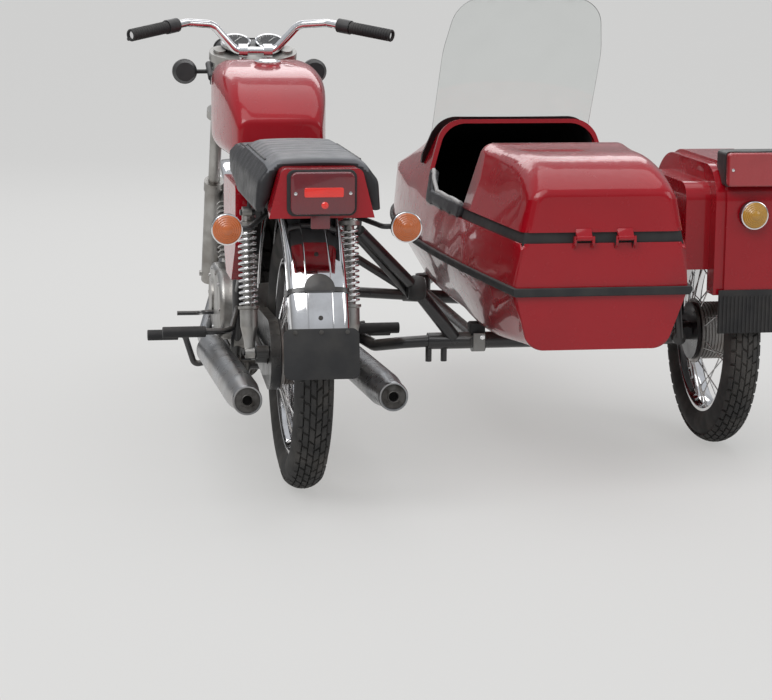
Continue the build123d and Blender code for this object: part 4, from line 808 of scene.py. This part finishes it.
def sewn(piece, axis, seams, depth, width, facing):
    """Presses sewn channels into a cushion: lines across one axis, where it faces a direction."""
    facing = Vector(facing)
    limit = 0.6
    piece.data.update()
    normals = [vertex.normal.copy() for vertex in piece.data.vertices]
    for vertex, normal in zip(piece.data.vertices, normals):
        share = (normal.dot(facing) - limit) / (1 - limit)
        if share > 0:
            place = (vertex.co - axle_foot)[axis] * 1000
            press = sum(math.exp(-((place - seam) / width) ** 2) for seam in seams)
            vertex.co -= facing * depth / 1000 * press * min(1.0, share * 2)


def piping(piece, points, radius):
    """A sewn cord cover that follows a cushion's surface through points in mm."""
    bpy.ops.object.select_all(action="DESELECT")
    curve = bpy.data.curves.new("piping", "CURVE")
    curve.dimensions = "3D"
    curve.bevel_depth = radius / 1000
    curve.bevel_resolution = 3
    spline = curve.splines.new("POLY")
    spline.points.add(len(points) - 1)
    for target, point in zip(spline.points, points):
        _, place, _, _ = piece.closest_point_on_mesh(bike(*point))
        target.co = (*place, 1)
    curve.use_fill_caps = True
    cord = bpy.data.objects.new("piping", curve)
    bpy.context.scene.collection.objects.link(cord)
    only(cord)
    bpy.ops.object.convert(target="MESH")
    bpy.ops.object.shade_smooth_by_angle(angle=math.radians(60))
    return bpy.context.object


seat = upholstered("seat", 6, 11)
crown_from = 770
crown_depth = 30
seat_half = 140
side_fall = 7
tail_from = -250
tail_run = 80
tail_fall = 6
for vertex in seat.data.vertices:
    spot = (vertex.co - axle_foot) * 1000
    if spot.z > crown_from:
        fall = side_fall * (spot.x / seat_half) ** 2
        fall += tail_fall * max(0.0, (tail_from - spot.y) / tail_run) ** 2
        vertex.co.z -= fall * min(1.0, (spot.z - crown_from) / crown_depth) / 1000
seat_channels = [-205 + 52 * row for row in range(10)]
sewn(seat, 1, seat_channels, 3.5, 5, (0, 0, 1))
panel_half = 112
pipes = []
for hand in (-1, 1):
    pipes.append(piping(seat, [(hand * panel_half, y, 812) for y in range(-236, 290, 12)], 2.6))
only(seat)
bpy.ops.object.shade_smooth()
settle(seat, "dual_seat", "black_vinyl", "outfit", "seat")
seat.data.materials.append(finishes["grey_vinyl"])
for face in seat.data.polygons:
    spot = (face.center - axle_foot) * 1000
    if abs(spot.x) < panel_half and spot.z > 780 and face.normal.z > 0.2:
        face.material_index = 1
settle(joined(pipes), "seat_piping", "black_vinyl", "outfit")

# Handlebar of chromed tube, with levers and ringed rubber grips pushed over its ends, two round
# instruments in cups on the upper yoke, and the headlamp: a moulded shell behind a glass lens.

dressed("handlebar", "chrome_plate", 0.6)
dressed("hand_controls", "black_plastic", 0.6)
dressed("instruments", "black_plastic", 1.0)
finish("clear_glass", (0.9, 0.93, 0.93), 0.05, grain=(160.0, 0.3), transmission=1.0, ior=1.5)
dressed("headlamp", "black_plastic", 1.5)
lamp_y = lamp_middle.y * 1000
lamp_z = lamp_middle.z * 1000
glass = moulded(175, 4, 125, 22, 1.2, (0, lamp_y + 4, lamp_z))
settle(glass, "headlamp_lens", "clear_glass", "steering", "headlamp_glass")
mirror = moulded(174, 3, 124, 22, 0.6, (0, lamp_y - 3.8, lamp_z))
dish = aim(lathed([(-1, 0.2), (-1, 57), (3.2, 57), (3.2, 54), (1.6, 44), (0.6, 26), (0.2, 0.2)], 56),
           (0, lamp_y - 2.4, lamp_z), (0, 1, 0))
bulb_shape = [(-1, 0.2), (-1, 7), (2, 7.5), (4, 5), (4.6, 0.2)]
bulb = aim(lathed(bulb_shape, 24), (0, lamp_y - 2, lamp_z), (0, 1, 0))
settle(joined([mirror, dish, bulb]), "headlamp_reflector", "chrome_plate", "steering")
bar_end = Vector((345, 766.9, 1032.9))
bar_bend = Vector((190, 888.9, 1060.9))
grip_shape = [(-4, 11), (-4, 15), (-2, 16.5), (2, 16.5)]
for ring in range(14):
    x = 6 + 8 * ring
    grip_shape += [(x, 15.2), (x + 1, 16.5), (x + 4.5, 16.5), (x + 5.5, 15.2)]
grip_shape += [(119, 16.5), (122, 16.5), (122, 11)]
grips = []
for hand in (-1, 1):
    end = Vector((hand * bar_end.x, bar_end.y, bar_end.z))
    way = Vector((hand * bar_bend.x, bar_bend.y, bar_bend.z)) - end
    grips.append(aim(lathed(grip_shape, 32), end, way))
settle(joined(grips), "ringed_grips", "black_rubber", "steering", "grips")
finish("dial_black", (0.01, 0.01, 0.011), 0.35, grain=(400.0, 0.05))
finish("dial_white", (0.75, 0.75, 0.72), 0.5, grain=(400.0, 0.05))
dial_way = Vector((0, -0.5, 1)).normalized()
dial_origin = Vector((0, 1010.9, 996.9))
bezel_shape = [(-8, 38), (-8, 41), (1.5, 41), (3, 39), (1.5, 35), (0, 35)]


def dial_line(turn, lift, middle, size, centre):
    """A painted line on a dial: turned in degrees, its middle out from the centre, in mm."""
    bpy.ops.mesh.primitive_cube_add(size=1)
    line = bpy.context.object
    line.data.transform(Matrix.Rotation(math.radians(turn), 4, "X")
                        @ Matrix.Translation((lift / 1000, 0, middle / 1000))
                        @ Matrix.Diagonal((size[0] / 1000, size[1] / 1000, size[2] / 1000, 1)))
    return aim(line, centre, dial_way)


bezels = []
faces = []
marks = []
for hand in (-1, 1):
    centre = dial_origin + Vector((hand * 47, 0, 0)) + dial_way * 10
    bezels.append(aim(lathed(bezel_shape, 56), centre, dial_way))
    faces.append(aim(lathed([(0.2, 0.2), (0.2, 35.5), (0.8, 35.5), (0.8, 0.2)], 40), centre, dial_way))
    for tick in range(21):
        long = 7 if tick % 2 == 0 else 4
        marks.append(dial_line(-130 + 13 * tick, 1.0, 33 - long / 2, (0.4, 1.0, long), centre))
    marks.append(dial_line(-128, 2.2, 10, (0.6, 1.4, 30), centre))
settle(joined(bezels), "dial_bezels", "chrome_plate", "steering")
settle(joined(faces), "dial_faces", "dial_black", "steering", slot="black_plastic")
settle(joined(marks), "dial_marks", "dial_white", "steering", slot="black_plastic")

# Footrests with rubber sleeves pushed over steel pegs, and the foot levers, forged and painted
# black.

dressed("footrest_rubbers", "black_rubber", 2.0)
dressed("foot_levers", "black_paint", 0.5)

# Screws of the engine's side covers, of plated steel in rows round each cover's edge, and the
# moulded rubber caps pushed over the spark plugs.

cover_y = 693
cover_z = 336
# along and above the cover's middle
cover_screws = [(-148, 0), (-120, 62), (-40, 78), (60, 78), (130, 50), (150, 0), (125, -58), (40, -78),
                (-60, -78), (-122, -60)]
heads = []
for hand in (-1, 1):
    for y, z in cover_screws:
        start = (hand * 260, cover_y + y, cover_z + z)
        heads.append(fastener(crankcase, start, (-hand, 0, 0), 4.2, 3.2, 12))
settle(joined(heads), "cover_screws", "spoke_steel", "outfit", slot="chrome_plate")
plug_shape = [(-4, 0.2), (-4, 9), (2, 11), (8, 11), (10, 9.5), (24, 9), (30, 10), (34, 9), (38, 6),
              (39, 0.2)]
plug_x = 60.8
caps = [aim(lathed(plug_shape, 24), (x, 782, 608), (0, 0.22, 0.975)) for x in (-plug_x, plug_x)]
settle(joined(caps), "plug_caps", "black_rubber", "outfit")

# The sidecar's chassis: welded and painted steel tube, clamped to the bike by four links with
# rubber-booted ball joints, with a trailing arm for the wheel and rubber blocks under the body.

for node in ("sidecar_links", "sidecar_arm"):
    dressed(node, "black_paint")
chassis = merged("sidecar_chassis")
tube_end_y = 236
arm_from_x = 960
bpy.ops.object.mode_set(mode="EDIT")
bpy.ops.mesh.select_mode(type="FACE")
bpy.ops.mesh.select_all(action="DESELECT")
form = bmesh.from_edit_mesh(chassis.data)
for face in form.faces:
    face.select_set(face.calc_center_median().x < bike(arm_from_x, 0, 0).x)
bmesh.update_edit_mesh(chassis.data)
bpy.ops.mesh.bisect(plane_co=bike(0, tube_end_y, 0), plane_no=(0, 1, 0), clear_inner=True, use_fill=True)
bpy.ops.mesh.select_mode(type="VERT")
bpy.ops.object.mode_set(mode="OBJECT")
add_modifier(chassis, "BEVEL", width=0.0008, segments=2, limit_method="ANGLE", angle_limit=math.radians(38))
bpy.ops.object.shade_smooth_by_angle(angle=math.radians(32))
settle(chassis, "chassis_tubes", "black_paint", "outfit", "sidecar_chassis")
cross_y = 262
cross_z = 294
settle(joined([moulded(38, 40, 28, 6, 2, (x, cross_y, cross_z + 32)) for x in (485, 855)]), "body_blocks",
       "black_rubber", "outfit")
finish("dull_zinc", (0.30, 0.30, 0.29), 0.5, metallic=0.8, grain=(300.0, 0.15), stain=(0.14, 0.12, 0.10))
clamp = settle(moulded(30, 6, 46, 2, 1, (486, cross_y - 31, cross_z)), "body_clamp", "dull_zinc", "outfit",
               slot="black_paint")
settle(fastener(clamp, (494, 100, cross_z + 13), (0, 1, 0), 4.5, 4), "clamp_bolt", "chrome_plate", "outfit")
ball_half = [(25, 0.2), (25, 17), (22, 25), (14, 30), (5, 32)]
ball_shape = [(-x, r) for x, r in ball_half] + ball_half[::-1]
settle(aim(lathed(ball_shape, 40), (316, 196, 440), (1, 0, 0)), "link_ball_boot", "black_rubber", "outfit")

# The sidecar body: a welded sheet shell in the bike's red, lined in black, with a rubber belt strip.
# A luggage lid with beaded rear corners hinges at its tail and closes on a rubber seal.

finish("black_lining", (0.012, 0.012, 0.012), 0.9, grain=(900.0, 0.3), stain=(0.025, 0.025, 0.025))
hull = dressed("sidecar_body", "red_paint", 0, smooth=30, flat=0)
body_x = 670
hull_middle = bike(body_x, 600, 560)
hull.data.materials.append(finishes["black_lining"])
hull_slimness = 0.35
for face in hull.data.polygons:
    offset = face.center - hull_middle
    offset.y *= hull_slimness
    if face.normal.dot(offset) < 0:
        face.material_index = 1
# the body is wider at its tail's floor than the solid: more to the left than to the right
belt_z = 488
belt_to_floor = 150
taper_y = 420
tail_half = 215
left_gain = 42
right_gain = 12
for vertex in hull.data.vertices:
    spot = (vertex.co - axle_foot) * 1000
    if spot.z < belt_z and spot.y < taper_y:
        widen = (belt_z - spot.z) / belt_to_floor * min(1.0, (taper_y - spot.y) / taper_y)
        gain = left_gain if spot.x < body_x else right_gain
        vertex.co.x += (spot.x - body_x) / tail_half * gain * widen / 1000
dressed("boot_lid", "red_paint", 0, smooth=30, flat=0)
bead_high = 74
bead_shape = [(0, 22), (0, 25.9), (bead_high, 25.9), (bead_high, 22)]
corners = []
for hand in (-1, 1):
    corner = lathed(bead_shape, 12, 6, 78)
    lean = Matrix(((-hand * 0.2, hand, 0), (0, 0, -1), (1, 0, 0)))
    corner.data.transform(lean.to_4x4())
    corner.location = bike(body_x + hand * 165.4, -226, 635)
    only(corner)
    bpy.ops.object.mode_set(mode="EDIT")
    bpy.ops.mesh.select_all(action="SELECT")
    bpy.ops.mesh.normals_make_consistent(inside=False)
    bpy.ops.object.mode_set(mode="OBJECT")
    corners.append(corner)
settle(joined(corners), "lid_corners", "red_paint", body_of(nodes["boot_lid"])[0])
dressed("dash_hoop", "red_paint", 2.0)
dressed("boot_seal", "black_rubber", 1.0)
dressed("belt_strip", "black_rubber", 3.0)
edge = upholstered("cockpit_edge", 5, 6)
only(edge)
bpy.ops.object.shade_smooth()
# Pale grey cords along the top of the black padding are painted highlight: they stand for the light falling
# on the padding's top.
highlight_strip_half = 240
highlight_strips = []
for hand in (-1, 1):
    line = [(body_x + hand * highlight_strip_half, y, 700 + 0.1 * (y - 240)) for y in range(250, 606, 14)]
    highlight_strips.append(piping(edge, line, 5.5))
settle(edge, "cockpit_padding", "black_vinyl", "outfit", "cockpit_edge")
finish("painted_highlight_grey", (0.42, 0.42, 0.41), 0.5, grain=(400.0, 0.1), stain=(0.22, 0.21, 0.2))
settle(joined(highlight_strips), "cockpit_top_highlights", "painted_highlight_grey", "outfit", slot="alloy")

# The windscreen: one clear acrylic sheet, bent while warm, that stands in a rubber channel on the
# dash hoop.

finish("clear_screen", (0.93, 0.95, 0.94), 0.025, grain=(4.0, 0.004), spread=0.01, stain=(0.88, 0.90, 0.89),
       stain_share=0.3, transmission=1.0, ior=1.45)
dressed("windscreen", "clear_screen", 0.8)
dressed("windscreen_rubber", "black_rubber", 1.5)

# The sidecar's seat: a cushion and a back of foam in black vinyl, sewn in channels from front to
# back and from top to bottom.

bench = upholstered("sidecar_seat", 6, 8)
channels = [body_x - 120 + 60 * row for row in range(5)]
for facing in ((0, 0, 1), (0, 1, 0)):
    sewn(bench, 0, channels, 4, 6, facing)
only(bench)
bpy.ops.object.shade_smooth()
settle(bench, "sidecar_bench", "black_vinyl", "outfit", "sidecar_seat")

# The sidecar's mudguard: a boxed sheet steel guard sprayed red, with a ribbed rubber flap below and
# a red lamp in a moulded housing screwed to its back.

dressed("sidecar_mudguard", "red_paint", 5.0, smooth=40)
dressed("sidecar_mudflap", "black_rubber", 0.8)
dressed("side_lamp_housing", "black_plastic", 1.0)
# The lens's paler red is partly hazed plastic, partly painted light.
dressed("side_lamp_lens", "hazed_lit_red_lens", 3.0, slot="red_lens")
lamp_screws = [aim(lathed(lens_screw, 16), (x, 16, 745), (0, -1, 0)) for x in (1062, 1186)]
settle(joined(lamp_screws), "side_lamp_screws", "chrome_plate", "outfit")
